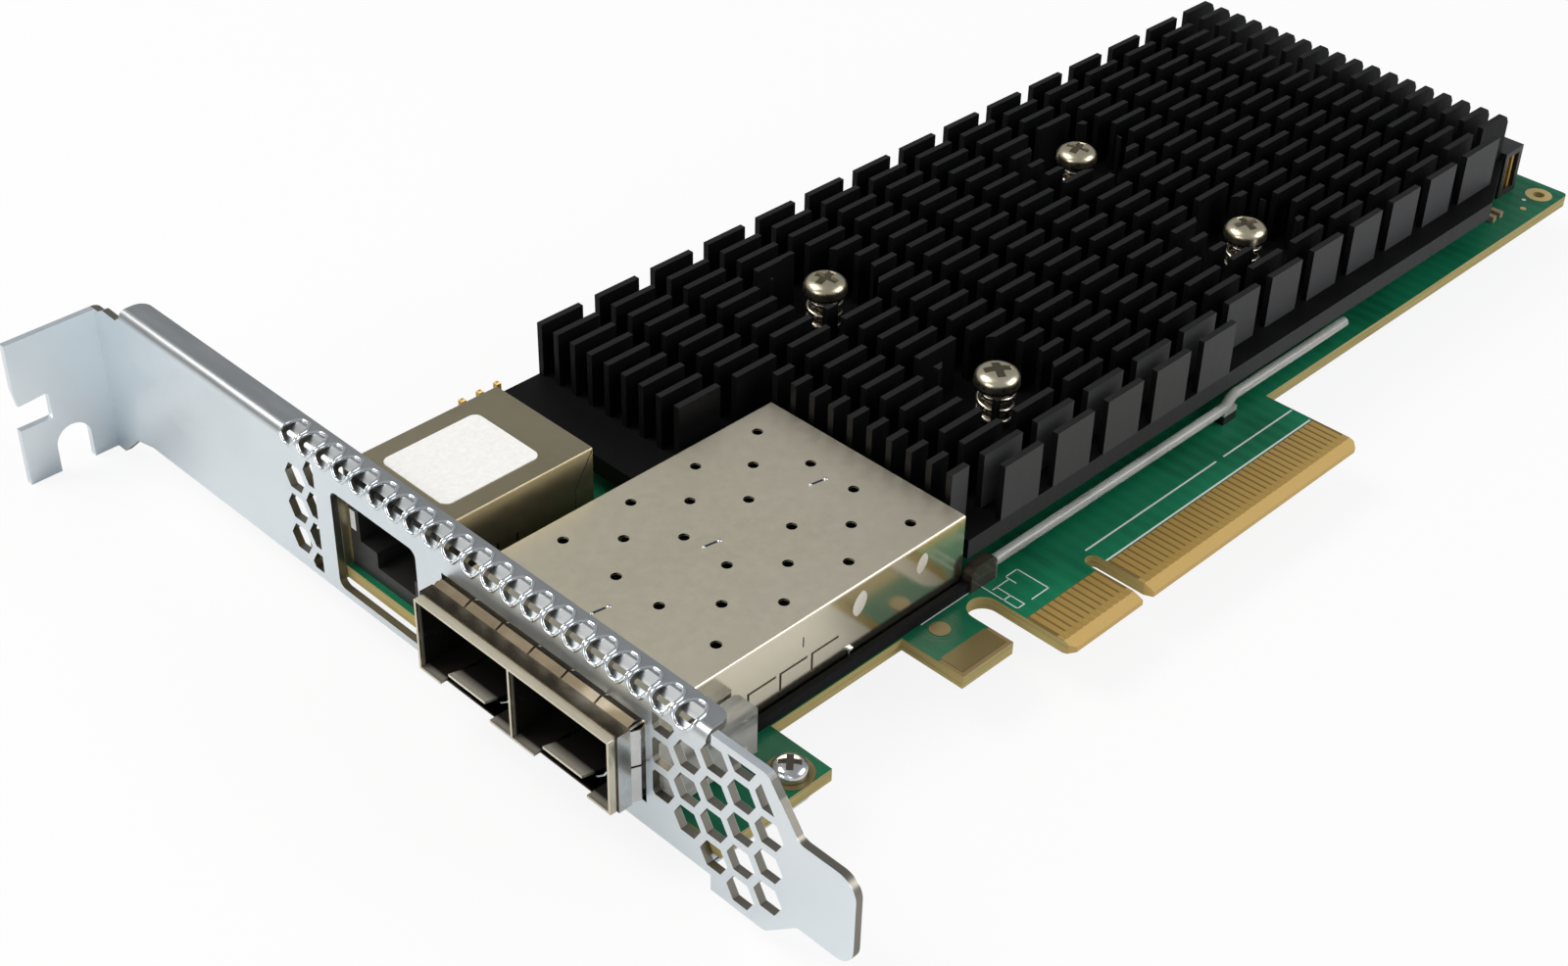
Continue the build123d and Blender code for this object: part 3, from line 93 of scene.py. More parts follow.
# Materials: small helpers that build node trees
class Tree:
    """A material whose patterns read Object coordinates."""

    def __init__(self, name):
        self.mat = bpy.data.materials.new(name)
        self.mat.use_nodes = True
        self.nt = self.mat.node_tree
        self.bsdf = self.nt.nodes["Principled BSDF"]

    def new(self, kind, **values):
        node = self.nt.nodes.new(kind)
        for key, value in values.items():
            setattr(node, key, value)
        return node

    def join(self, a, b):
        self.nt.links.new(a, b)

    def feed(self, socket, value):
        """A number, a colour or another node's output into a socket."""
        if isinstance(value, (int, float)):
            socket.default_value = value
        elif isinstance(value, tuple):
            socket.default_value = (*value, 1.0)
        else:
            self.join(value, socket)

    def put(self, **values):
        """Values for the shader's sockets, by their names with _ for a space."""
        for key, value in values.items():
            self.feed(self.bsdf.inputs[key.replace("_", " ")], value)

    @cached_property
    def coords(self):
        return self.new("ShaderNodeTexCoord").outputs["Object"]

    @cached_property
    def place(self):
        split = self.new("ShaderNodeSeparateXYZ")
        self.join(self.coords, split.inputs[0])
        return split.outputs

    @cached_property
    def normal(self):
        """The surface normal's part along each axis."""
        split = self.new("ShaderNodeSeparateXYZ")
        self.join(self.new("ShaderNodeNewGeometry").outputs["True Normal"], split.inputs[0])
        return split.outputs

    def facing(self, axis, low, high):
        """One where the surface faces along an axis, either way, zero where it lies along it."""
        return self.levels(self.math("ABSOLUTE", self.normal[axis]), low, high)

    def noise(self, scale, detail=3.0, rough=0.55, stretch=None):
        n = self.new("ShaderNodeTexNoise")
        n.inputs["Scale"].default_value = scale
        n.inputs["Detail"].default_value = detail
        n.inputs["Roughness"].default_value = rough
        self.join(self.scaled(stretch) if stretch else self.coords, n.inputs["Vector"])
        return n.outputs["Fac"]

    def scaled(self, stretch):
        """Object coordinates times a scale for each axis."""
        m = self.new("ShaderNodeMapping")
        m.inputs["Scale"].default_value = stretch
        self.join(self.coords, m.inputs["Vector"])
        return m.outputs["Vector"]

    def ramp(self, fac, *stops):
        r = self.new("ShaderNodeValToRGB")
        elements = r.color_ramp.elements
        while len(elements) < len(stops):
            elements.new(0.5)
        for element, (at, colour) in zip(elements, stops):
            element.position = at
            element.color = (*colour, 1.0)
        self.join(fac, r.inputs["Fac"])
        return r.outputs["Color"]

    def tint(self, dark, light, scale=45.0, detail=2.0):
        """Two colours of one finish, in slow patches."""
        return self.ramp(self.noise(scale, detail), (0.3, dark), (0.7, light))

    def levels(self, fac, lo, hi, out_lo=0.0, out_hi=1.0):
        m = self.new("ShaderNodeMapRange")
        for key, value in (("From Min", lo), ("From Max", hi), ("To Min", out_lo), ("To Max", out_hi)):
            m.inputs[key].default_value = value
        self.join(fac, m.inputs["Value"])
        return m.outputs["Result"]

    def wander(self, noise, low, high):
        """A number that goes from low to high with a noise."""
        return self.levels(noise, 0.2, 0.8, low, high)

    def above(self, axis, start, soft, low=0.0):
        """One past a place in millimetres along an axis, with a soft start."""
        return self.levels(self.place[axis], start * MM, (start + soft) * MM, low, 1.0)

    def below(self, axis, end, soft):
        """One before a place in millimetres along an axis, with a soft end after it."""
        return self.levels(self.place[axis], end * MM, (end + soft) * MM, 1.0, 0.0)

    def math(self, op, a, b=None):
        m = self.new("ShaderNodeMath", operation=op)
        self.feed(m.inputs[0], a)
        if b is not None:
            self.feed(m.inputs[1], b)
        return m.outputs[0]

    def times(self, first, *others):
        """The product of masks: one where all of them are one."""
        for other in others:
            first = self.math("MULTIPLY", first, other)
        return first

    def inverse(self, mask):
        return self.math("SUBTRACT", 1.0, mask)

    def mix(self, fac, a, b):
        m = self.new("ShaderNodeMix", data_type="RGBA")
        for socket, value in ((m.inputs[0], fac), (m.inputs[6], a), (m.inputs[7], b)):
            self.feed(socket, value)
        return m.outputs[2]

    def bump(self, height, strength, distance):
        b = self.new("ShaderNodeBump")
        b.inputs["Strength"].default_value = strength
        b.inputs["Distance"].default_value = distance
        self.join(height, b.inputs["Height"])
        self.join(b.outputs["Normal"], self.bsdf.inputs["Normal"])


def metal(name, dark, light, rough, grain_scale=900.0, relief=0.08, spread=0.08, metallic=1.0):
    """Sheet or turned metal: slow tint changes and a fine grain."""
    t = Tree(name)
    grain = t.noise(grain_scale, 4.0, 0.6)
    t.put(Metallic=metallic, Base_Color=t.tint(dark, light))
    t.put(Roughness=t.wander(grain, rough - spread, rough + spread))
    t.bump(grain, relief, 0.00003)
    return t


def plastic(name, dark, light, rough, grain_scale=1500.0, relief=0.12):
    """Moulded plastic: fine texture and slight tint changes."""
    t = Tree(name)
    fine = t.noise(grain_scale)
    t.put(Base_Color=t.tint(dark, light, 60.0, 3.0))
    t.put(Roughness=t.wander(fine, rough - 0.07, rough + 0.07))
    t.bump(fine, relief, 0.00002)
    return t


def make_board_material():
    """Green solder mask, bare strips on the tongue and the lug, laminate on the edges."""
    t = Tree("board")
    # Faint copper runs under the mask
    wave = t.new("ShaderNodeTexWave", wave_type="BANDS", bands_direction="X", wave_profile="SIN")
    for key, value in (("Scale", 150.0), ("Distortion", 5.0), ("Detail", 1.0), ("Detail Scale", 0.25)):
        wave.inputs[key].default_value = value
    t.join(t.scaled((1.0, 0.35, 0.0)), wave.inputs["Vector"])
    runs = t.levels(wave.outputs["Fac"], 0.45, 0.62)
    patch = t.levels(t.noise(70.0, 2.0), 0.42, 0.5)
    mask = t.mix(patch, (0.0042, 0.112, 0.050), (0.0062, 0.148, 0.068))
    mask = t.mix(t.times(runs, 0.35), mask, (0.010, 0.185, 0.088))
    # The tongue is golden below the contacts and brown between them
    on_tongue = t.above("X", TONGUE_X, 0.1)
    golden = t.tint((0.31, 0.205, 0.062), (0.40, 0.275, 0.095), 300.0)
    bare = t.mix(t.above("Y", CONTACT_FOOT_Y, 0.2), golden, (0.165, 0.102, 0.034))
    face = t.mix(t.times(t.below("Y", BARE_TOP_Y, 0.07), on_tongue), mask, bare)
    # The lug has a bare strip at its end, and a darker mask above it
    lug_x = t.times(t.above("X", LUG_PAD_X0, 0.2), t.below("X", LUG_PAD_X1, 0.2))
    strip = t.times(t.below("Y", LUG_PAD_TOP_Y, 0.1), lug_x)
    face = t.mix(strip, face, (0.22, 0.150, 0.070))
    round_lug = t.times(t.below("Y", LUG_PAD_TOP_Y + 6.5, 2.0), t.below("X", LUG_PAD_X1 - 0.2, 2.0))
    face = t.mix(t.times(round_lug, t.inverse(strip), 0.6), face, (0.0030, 0.090, 0.040))
    # Cut edges, and the bevel of the tongue
    layers = t.noise(500.0, 3.0, 0.6, (0.15, 0.15, 6.0))
    edge = t.ramp(layers, (0.3, (0.30, 0.235, 0.082)), (0.7, (0.46, 0.37, 0.15)))
    flat = t.facing("Z", 0.80, 0.97)
    bevel = t.times(on_tongue, t.below("Y", BEVEL_TOP_Y, 0.06))
    t.put(Base_Color=t.mix(bevel, t.mix(flat, edge, face), (0.54, 0.36, 0.125)))
    t.put(Roughness=t.levels(flat, 0.0, 1.0, 0.62, 0.40), Specular_IOR_Level=0.3)
    t.put(Coat_Weight=0.08, Coat_Roughness=0.3, IOR=1.38)
    weave = t.noise(2600.0, 2.0, 0.5, (1.0, 1.0, 0.0))
    t.bump(t.math("ADD", t.times(runs, 0.6), t.times(weave, 0.25)), 0.25, 0.00004)
    return t


def make_sink_material():
    """Black finish, with painted light on the near faces of the first two rows and on the tops."""
    t = Tree("black_anodised")
    black = t.tint((0.0022, 0.0022, 0.0023), (0.0036, 0.0036, 0.0037), 80.0, 3.0)
    # Painted light: the near faces of the first two rows are lighter, less so low down, and the tops a
    # little lighter
    near = t.times(t.below("Y", SECOND_ROW_Y, 0.2), t.facing("Y", 0.6, 0.9))
    near = t.times(near, t.above("Z", SINK_BASE_Z, 0.1, low=0.55))
    painted_light_mask = t.math("MAXIMUM", near, t.times(t.above("Z", FIN_TOP_Z, 0.05), 0.17))
    t.put(Base_Color=t.mix(painted_light_mask, black, (0.058, 0.058, 0.059)), Metallic=0.0)
    grain = t.noise(1600.0, 3.0, 0.6, (1.0, 1.0, 0.25))
    t.put(Roughness=t.wander(grain, 0.50, 0.62), Specular_IOR_Level=0.12)
    t.bump(grain, 0.12, 0.00002)
    return t


def make_pads_material():
    """Brown bare pads, gold at the board's far corner."""
    t = Tree("pad_metal")
    brown = t.tint((0.120, 0.090, 0.030), (0.180, 0.138, 0.050))
    gold = t.tint((0.58, 0.42, 0.15), (0.70, 0.53, 0.23))
    t.put(Base_Color=t.mix(t.above("X", FAR_PAD_X, 1.0), brown, gold), Metallic=0.35)
    t.put(Roughness=t.wander(t.noise(900.0), 0.34, 0.46))
    return t


def make_bracket_material():
    """Pale zinc finish, darker and browner on the sheet's cut edges, with painted shade on the flange and
    on the vents' inner walls over the bend.
    """
    t = Tree("bracket_steel")
    skin = t.tint((0.72, 0.79, 0.84), (0.82, 0.87, 0.90))
    # The flange and its bend are greyer than the plate: a painted dark reflection
    flange = t.times(t.above("Z", BEND_Z, 0.5), t.above("Y", FLANGE_Y, 0.1))
    skin = t.mix(t.times(flange, 0.75), skin, (0.34, 0.345, 0.34))
    # Cut edges of the plate, between its two faces
    within = t.times(t.above("X", PLATE_OUT_X, 0.03), t.below("X", PLATE_IN_X - 0.03, 0.03))
    sideways = t.inverse(t.facing("X", 0.35, 0.6))
    cut = t.times(within, sideways, t.below("Z", BEND_Z - 0.2, 0.4))
    colour = t.mix(cut, skin, (0.235, 0.22, 0.185))
    # Inner walls of the vents over the bend, darkened by painted shade
    slanted = t.levels(t.times(t.normal["X"], t.normal["Z"]), 0.2, 0.35)
    walls = t.math("MAXIMUM", slanted, t.facing("Y", 0.4, 0.6))
    walls = t.times(walls, t.below("X", BEND_VENT_END_X, 0.2), t.above("Z", BEND_Z - 0.6, 0.2))
    t.put(Base_Color=t.mix(walls, colour, (0.13, 0.125, 0.11)), Metallic=1.0)
    grain = t.noise(700.0, 4.0, 0.6, (1.0, 0.2, 1.0))
    t.put(Roughness=t.wander(grain, 0.30, 0.44))
    t.bump(grain, 0.08, 0.00003)
    return t


def inside_mask(t, first, full):
    """One within the cage's walls, fading in along X from a first place to a full one: where the ports'
    painted shade lies.
    """
    soft = 0.3 * CAGE_WALL
    across = t.times(t.above("Y", cage_lo[1] + CAGE_WALL, soft),
                     t.below("Y", cage_hi[1] - CAGE_WALL - soft, soft))
    under_top = t.below("Z", cage_hi[2] - CAGE_WALL - soft, soft)
    return t.times(t.above("X", first, full - first), across, under_top)


def latch_ends(t):
    """One on the front ends of the two latch tongues of the cage's floor."""
    width = cage_hi[1] - cage_lo[1]
    middles = [(cage_lo[1] + width * share) * MM for share in (0.25, 0.75)]
    off = [t.math("ABSOLUTE", t.math("SUBTRACT", t.place["Y"], middle)) for middle in middles]
    on_latch = t.levels(t.math("MINIMUM", *off), LATCH_HALF_W * MM, (LATCH_HALF_W + 0.1) * MM, 1.0, 0.0)
    return t.times(on_latch, t.below("X", LATCH_BRIGHT_X, 1.2))


def make_cage_material(name, dark, light, rough, first, full, latches=False):
    """Sheet of the cage: bright outside, and near black deep in the ports by painted shade."""
    t = Tree(name)
    skin = t.tint(dark, light)
    # Painted shade deep inside the ports: near black and not metallic
    mask = inside_mask(t, first, full)
    metallic = t.inverse(mask)
    if latches:
        # The latch tongues' front ends stay out of the painted shade and are made less metallic, so that
        # they read bright
        ends = latch_ends(t)
        mask = t.times(mask, t.inverse(ends))
        metallic = t.times(t.inverse(mask), t.levels(ends, 0.0, 1.0, 1.0, 0.45))
    t.put(Base_Color=t.mix(mask, skin, (0.010, 0.009, 0.008)), Metallic=metallic)
    grain = t.noise(900.0, 4.0, 0.6)
    smoother_side = t.levels(t.facing("Y", 0.6, 0.9), 0.0, 1.0, 1.0, 0.36)
    t.put(Roughness=t.times(t.wander(grain, rough - 0.04, rough + 0.04), smoother_side))
    t.bump(grain, 0.03, 0.00003)
    return t


def make_collar_material():
    """Springy sheet with uneven shine: dull dark brown on top, partly painted shade, and pale on its near
    side, a painted light.
    """
    t = Tree("collar_sheet")
    patch = t.noise(190.0, 3.0, 0.6, (1.0, 0.6, 1.0))
    browns = ((0.30, (0.030, 0.024, 0.016)), (0.55, (0.062, 0.051, 0.035)), (0.78, (0.20, 0.175, 0.135)))
    pale = t.ramp(patch, (0.3, (0.52, 0.52, 0.52)), (0.7, (0.68, 0.68, 0.67)))
    # The top's dark brown is partly painted shade, and the paler near side is painted light
    t.put(Base_Color=t.mix(t.facing("Y", 0.5, 0.8), t.ramp(patch, *browns), pale), Metallic=1.0)
    t.put(Roughness=t.levels(patch, 0.3, 0.7, 0.20, 0.36))
    t.bump(patch, 0.35, 0.0002)
    return t


def make_clear(name, bulb=None):
    """Clear plastic with dark and pale streaks of painted reflection; the light pipe has a dark brown bulb
    between two places, and darker feet.
    """
    t = Tree(name)
    # Dark and pale streaks along the plastic: painted reflections
    reflection_streak = t.noise(260.0, 3.0, 0.5, (0.2, 1.0, 1.0))
    clear = (0.66, 0.65, 0.60)
    deep = tuple(c * 0.34 for c in clear)
    pale = tuple(c * 1.25 for c in clear)
    colour = t.ramp(reflection_streak, (0.36, deep), (0.50, clear), (0.75, pale))
    if bulb:
        on_bulb = t.times(t.above("X", bulb[0] - 0.2, 0.2), t.below("X", bulb[1], 0.4))
        colour = t.mix(on_bulb, colour, (0.085, 0.065, 0.045))
        foot = t.times(t.above("X", PIPE_FOOT_X, 1.0), t.below("Z", PIPE_FOOT_Z, 0.07))
        colour = t.mix(foot, colour, (0.020, 0.018, 0.015))
    t.put(Base_Color=colour, Roughness=t.wander(reflection_streak, 0.11, 0.24), IOR=1.49, Transmission_Weight=0.55)
    t.bump(reflection_streak, 0.2, 0.00005)
    return t


def make_label_material():
    """Off-white film with fine fibres."""
    t = Tree("label_film")
    fibre = t.noise(1800.0, 3.0, 0.6)
    t.put(Base_Color=t.ramp(fibre, (0.3, (0.80, 0.79, 0.76)), (0.7, (0.88, 0.87, 0.84))))
    t.put(Roughness=t.wander(fibre, 0.38, 0.5))
    t.bump(fibre, 0.1, 0.00001)
    return t


mats = {
    "board": make_board_material(),
    "gold": metal("gold", (0.60, 0.385, 0.100), (0.69, 0.465, 0.145), 0.40,
                  relief=0.03, spread=0.05, metallic=0.75),
    "pad_metal": make_pads_material(),
    "bracket_steel": make_bracket_material(),
    "screw_steel": metal("screw_steel", (0.54, 0.475, 0.325), (0.66, 0.595, 0.435), 0.30, 1200.0),
    "nickel_sheet": metal("nickel_sheet", (0.60, 0.545, 0.44), (0.66, 0.605, 0.50), 0.38,
                          relief=0.03, spread=0.04),
    "spring_steel": metal("spring_steel", (0.42, 0.38, 0.31), (0.56, 0.51, 0.43), 0.24),
    "black_plastic": plastic("black_plastic", (0.011, 0.011, 0.011), (0.019, 0.018, 0.017), 0.48),
    "clear_plastic": make_clear("clear_plastic"),
    "label_film": make_label_material(),
    "black_anodised": make_sink_material(),
    "chip_body": plastic("chip_body", (0.030, 0.034, 0.030), (0.045, 0.050, 0.045), 0.40),
    "thermal_pad": plastic("thermal_pad", (0.28, 0.29, 0.30), (0.36, 0.37, 0.38), 0.75, 700.0, 0.3),
    "ceramic_part": plastic("ceramic_part", (0.30, 0.22, 0.14), (0.44, 0.34, 0.22), 0.45),
}
can_sheet = metal("can_sheet", (0.36, 0.31, 0.20), (0.44, 0.385, 0.265), 0.38, relief=0.03, spread=0.04)
cage_sheet = make_cage_material("cage_sheet", (0.70, 0.64, 0.50), (0.76, 0.70, 0.56), 0.46, -62.93, -62.40)
cage_floor_sheet = make_cage_material("cage_floor_sheet", (0.66, 0.61, 0.51), (0.76, 0.71, 0.61), 0.40,
                                      -62.90, -62.00, latches=True)
white_print = plastic("white_print", (0.62, 0.63, 0.60), (0.72, 0.73, 0.70), 0.55, 900.0, 0.2)
light_window = plastic("light_window", (0.72, 0.73, 0.72), (0.85, 0.86, 0.85), 0.3)
dark_well = plastic("dark_well", (0.004, 0.004, 0.004), (0.008, 0.008, 0.008), 0.7)
dent_sheet = metal("dent_sheet", (0.78, 0.73, 0.64), (0.86, 0.81, 0.72), 0.5, 800.0, metallic=0.6)
mask_dark = plastic("mask_dark", (0.003, 0.062, 0.030), (0.004, 0.080, 0.040), 0.42)
silver_screw = metal("silver_screw", (0.60, 0.60, 0.60), (0.72, 0.72, 0.72), 0.20, 1200.0)
solder = metal("solder", (0.50, 0.50, 0.49), (0.66, 0.66, 0.65), 0.26)
bright_lip = metal("bright_lip", (0.66, 0.70, 0.73), (0.82, 0.85, 0.87), 0.17, 1100.0, 0.05, 0.05)
# Painted shade for the floors of the screws' recesses
recess_shade = plastic("recess_shade", (0.016, 0.012, 0.005), (0.045, 0.034, 0.014), 0.5)
# Near black and duller than the black plastic, for the sleeve along the cage's foot: partly painted shade
# of the gap under the cage
channel_black = plastic("channel_black", (0.0045, 0.0045, 0.0045), (0.0080, 0.0080, 0.0078), 0.78)
channel_black.put(Specular_IOR_Level=0.15)

slot_of = {s["node"]: s["material_slot"] for s in frame["record"].get("subparts", [])}
own_finish = {
    "jack_shield": can_sheet,
    "cage_floor": cage_floor_sheet,
    "cage_shell": cage_sheet,
    "cage_divider": cage_sheet,
    "cage_spring_collar": make_collar_material(),
    "jack_windows": light_window,
    "light_pipe": make_clear("light_pipe", PIPE_BULB),
    "light_pipe_sleeve": channel_black,
}
for name, obj in nodes.items():
    finish = own_finish.get(name) or mats[slot_of[name]]
    obj.data.materials.clear()
    obj.data.materials.append(finish.mat)


# Mesh helpers, all sizes in millimetres
def mesh_of(name, bm, smooth=None):
    """A mesh in metres, shaded smooth where its faces meet at less than an angle, if one is given."""
    bmesh.ops.recalc_face_normals(bm, faces=bm.faces)
    mesh = bpy.data.meshes.new(name)
    bm.to_mesh(mesh)
    bm.free()
    mesh.transform(Matrix.Scale(MM, 4))
    if smooth is not None:
        for face in mesh.polygons:
            face.use_smooth = True
        mesh.set_sharp_from_angle(angle=math.radians(smooth))
    return mesh


def link_new(name, mesh):
    obj = bpy.data.objects.new(name, mesh)
    bpy.context.scene.collection.objects.link(obj)
    return obj


def show(name, mesh, tree):
    """A mesh as a piece of the card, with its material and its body."""
    obj = link_new(name, mesh)
    mesh.materials.clear()
    mesh.materials.append(tree.mat)
    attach(obj, "root")
    return obj


def piece(name, bm, tree, smooth=None):
    show(name, mesh_of(name, bm, smooth), tree)


def template(name, bm, smooth=40):
    """A mesh to repeat, round its own origin and outside the scene."""
    return bpy.data.objects.new(name, mesh_of(name, bm, smooth))


def plain_mesh(obj):
    """The evaluated mesh of an object, and the object removed."""
    graph = bpy.context.evaluated_depsgraph_get()
    mesh = bpy.data.meshes.new_from_object(obj.evaluated_get(graph))
    obj.modifiers.clear()
    bpy.data.objects.remove(obj)
    return mesh


def add_box(bm, lo, hi, bevel=0.0):
    made = bmesh.ops.create_cube(bm, size=1.0)["verts"]
    lo, hi = Vector(lo), Vector(hi)
    for v in made:
        v.co = (lo + hi) / 2 + Vector(v.co[i] * (hi[i] - lo[i]) for i in range(3))
    if bevel:
        edges = list({e for v in made for e in v.link_edges})
        bmesh.ops.bevel(bm, geom=edges, offset=bevel, segments=2, affect="EDGES", profile=0.6)


def add_prism(bm, low, high):
    """A closed body between two outlines with the same number of points."""
    low = [bm.verts.new(p) for p in low]
    high = [bm.verts.new(p) for p in high]
    bm.faces.new(low[::-1])
    bm.faces.new(high)
    for k in range(len(low)):
        n = (k + 1) % len(low)
        bm.faces.new((low[k], low[n], high[n], high[k]))


def add_turned(bm, profile, place=(0, 0, 0), steps=32):
    """A profile of (radius, height) turned about Z; one that ends where it starts is a ring."""
    rings = []
    for k in range(steps):
        a = 2 * math.pi * k / steps
        points = [Vector((r * math.cos(a), r * math.sin(a), h)) for r, h in profile]
        rings.append([bm.verts.new(Vector(place) + p) for p in points])
    for k in range(steps):
        a, b = rings[k], rings[(k + 1) % steps]
        for i in range(len(profile) - 1):
            bm.faces.new((a[i], b[i], b[i + 1], a[i + 1]))
    is_ring = profile[0] == profile[-1]
    if profile[0][0] > 0 and not is_ring:
        bm.faces.new([ring[0] for ring in rings][::-1])
    if profile[-1][0] > 0 and not is_ring:
        bm.faces.new([ring[-1] for ring in rings])
    bmesh.ops.remove_doubles(bm, verts=bm.verts, dist=1e-5)


# Geometry node trees, one for each kind of piece that repeats
def start_tree(name, inputs):
    """An empty tree, and the identifiers of its named inputs."""
    group = bpy.data.node_groups.new(name + "_tree", "GeometryNodeTree")
    for side in ("INPUT", "OUTPUT"):
        group.interface.new_socket("Geometry", in_out=side, socket_type="NodeSocketGeometry")
    ids = {}
    for label, value in inputs.items():
        kind = "NodeSocketInt" if isinstance(value, int) else "NodeSocketFloat"
        ids[label] = group.interface.new_socket(label, in_out="INPUT", socket_type=kind).identifier
    return group, ids


def end_tree(group, onto, tree, smooth=False):
    """Instances on points made real, with the material, as the tree's result."""
    kinds = ["GeometryNodeRealizeInstances", "GeometryNodeSetShadeSmooth", "GeometryNodeSetMaterial"]
    if not smooth:
        kinds.remove("GeometryNodeSetShadeSmooth")
    chain = [onto] + [group.nodes.new(kind) for kind in kinds] + [group.nodes.new("NodeGroupOutput")]
    for a, b in zip(chain, chain[1:]):
        group.links.new(a.outputs[0], b.inputs[0])
    chain[-2].inputs["Material"].default_value = tree.mat


def grown(name, places, group, ids, inputs, tree):
    """A tree's result on points at the places, as a plain piece."""
    points = bpy.data.meshes.new(name + "_places")
    points.from_pydata([tuple(c * MM for c in p) for p in places], [], [])
    obj = link_new(name + "_base", points)
    mod = obj.modifiers.new(name, "NODES")
    mod.node_group = group
    for label, value in inputs.items():
        mod[ids[label]] = value
    mesh = plain_mesh(obj)
    mesh.name = name
    return show(name, mesh, tree)


def repeat(name, original, places, tree, turn=0.0, seed=1):
    """Copies of a template at places, each turned about Z by a random share of a turn in radians."""
    inputs = {"Size": 1.0, "Turn": turn, "Seed": seed}
    group, ids = start_tree(name, inputs)
    new, link = group.nodes.new, group.links.new
    source = new("NodeGroupInput")
    copied = new("GeometryNodeObjectInfo")
    copied.inputs["Object"].default_value = original
    onto = new("GeometryNodeInstanceOnPoints")
    chance = new("FunctionNodeRandomValue")
    spin = new("ShaderNodeCombineXYZ")
    link(source.outputs["Geometry"], onto.inputs["Points"])
    link(copied.outputs["Geometry"], onto.inputs["Instance"])
    link(source.outputs["Size"], onto.inputs["Scale"])
    link(source.outputs["Turn"], chance.inputs[3])
    link(source.outputs["Seed"], chance.inputs["Seed"])
    link(chance.outputs[1], spin.inputs["Z"])
    link(spin.outputs[0], onto.inputs["Rotation"])
    end_tree(group, onto, tree)
    return grown(name, places, group, ids, inputs, tree)


def coil(name, places, radius, wire, turns, height, tree):
    """Coil springs at places: a spiral swept with a round wire."""
    inputs = {"Radius": radius * MM, "Wire": wire * MM, "Turns": turns, "Height": height * MM}
    group, ids = start_tree(name, inputs)
    new, link = group.nodes.new, group.links.new
    source = new("NodeGroupInput")
    spiral = new("GeometryNodeCurveSpiral")
    spiral.inputs["Resolution"].default_value = 40
    ring = new("GeometryNodeCurvePrimitiveCircle")
    ring.inputs["Resolution"].default_value = 12
    tube = new("GeometryNodeCurveToMesh")
    tube.inputs["Fill Caps"].default_value = True
    onto = new("GeometryNodeInstanceOnPoints")
    link(source.outputs["Radius"], spiral.inputs["Start Radius"])
    link(source.outputs["Radius"], spiral.inputs["End Radius"])
    link(source.outputs["Turns"], spiral.inputs["Rotations"])
    link(source.outputs["Height"], spiral.inputs["Height"])
    link(source.outputs["Wire"], ring.inputs["Radius"])
    link(spiral.outputs[0], tube.inputs["Curve"])
    link(ring.outputs[0], tube.inputs["Profile Curve"])
    link(source.outputs["Geometry"], onto.inputs["Points"])
    link(tube.outputs[0], onto.inputs["Instance"])
    end_tree(group, onto, tree, smooth=True)
    return grown(name, places, group, ids, inputs, tree)


# Screws with a domed head and a cross recess
RECESS_DEEP, RECESS_FOOT, RECESS_ARM = 1.15, 0.60, 0.30
RECESS_OVER, RECESS_MOUTH = 0.5, 1.12
EDGE_EASE = 0.08
Screw = namedtuple("Screw", "head_r head_h dome shank_r recess floor turn seed")
SINK_SCREW = Screw(head_r=2.62, head_h=1.9, dome=1.25, shank_r=1.25,
                   recess=1.75, floor=0.27, turn=1.4, seed=4)
BRACKET_SCREW = Screw(head_r=1.85, head_h=1.45, dome=0.95, shank_r=1.0,
                      recess=1.25, floor=0.22, turn=1.0, seed=7)


def add_cross(bm, size, levels):
    """A cross-shaped body through two levels of (height, share of the recess's size)."""
    outlines = []
    for level, share in levels:
        arm, half = size * share, size * share * RECESS_ARM
        outline = []
        for k in range(4):
            quarter = Matrix.Rotation(math.pi / 2 * k, 3, "Z").transposed()
            outline += [quarter @ Vector((*q, level)) for q in ((half, half), (arm, half), (arm, -half))]
        outlines.append(outline)
    add_prism(bm, *outlines)


def pan_screw(screw, low):
    """A screw from a lowest height up: its seat is at height 0, and its recess is cut from its head."""
    r, h, dome, shank_r = screw.head_r, screw.head_h, screw.dome, screw.shank_r
    profile = [(0.0, low), (shank_r * 0.85, low), (shank_r, low + 0.2), (shank_r, 0.0)]
    profile += [(r - EDGE_EASE, 0.0), (r, EDGE_EASE), (r, h - dome)]
    for k in range(1, 9):
        a = math.pi / 2 * k / 9
        profile.append((r - dome * 1.2 * (1 - math.cos(a)), h - dome + (dome - EDGE_EASE) * math.sin(a)))
    profile += [(r * 0.3, h - 0.02), (0.0, h)]
    bm = bmesh.new()
    add_turned(bm, profile, steps=48)
    head = link_new("head", mesh_of("head", bm, 40))
    bm = bmesh.new()
    add_cross(bm, screw.recess, ((h - RECESS_DEEP, RECESS_FOOT), (h + RECESS_OVER, RECESS_MOUTH)))
    cross = link_new("cross", mesh_of("cross", bm))
    cut = head.modifiers.new("cut", "BOOLEAN")
    cut.operation = "DIFFERENCE"
    cut.object = cross
    mesh = plain_mesh(head)
    bpy.data.objects.remove(cross)
    mesh.set_sharp_from_angle(angle=math.radians(35))
    return bpy.data.objects.new("pan_screw", mesh)


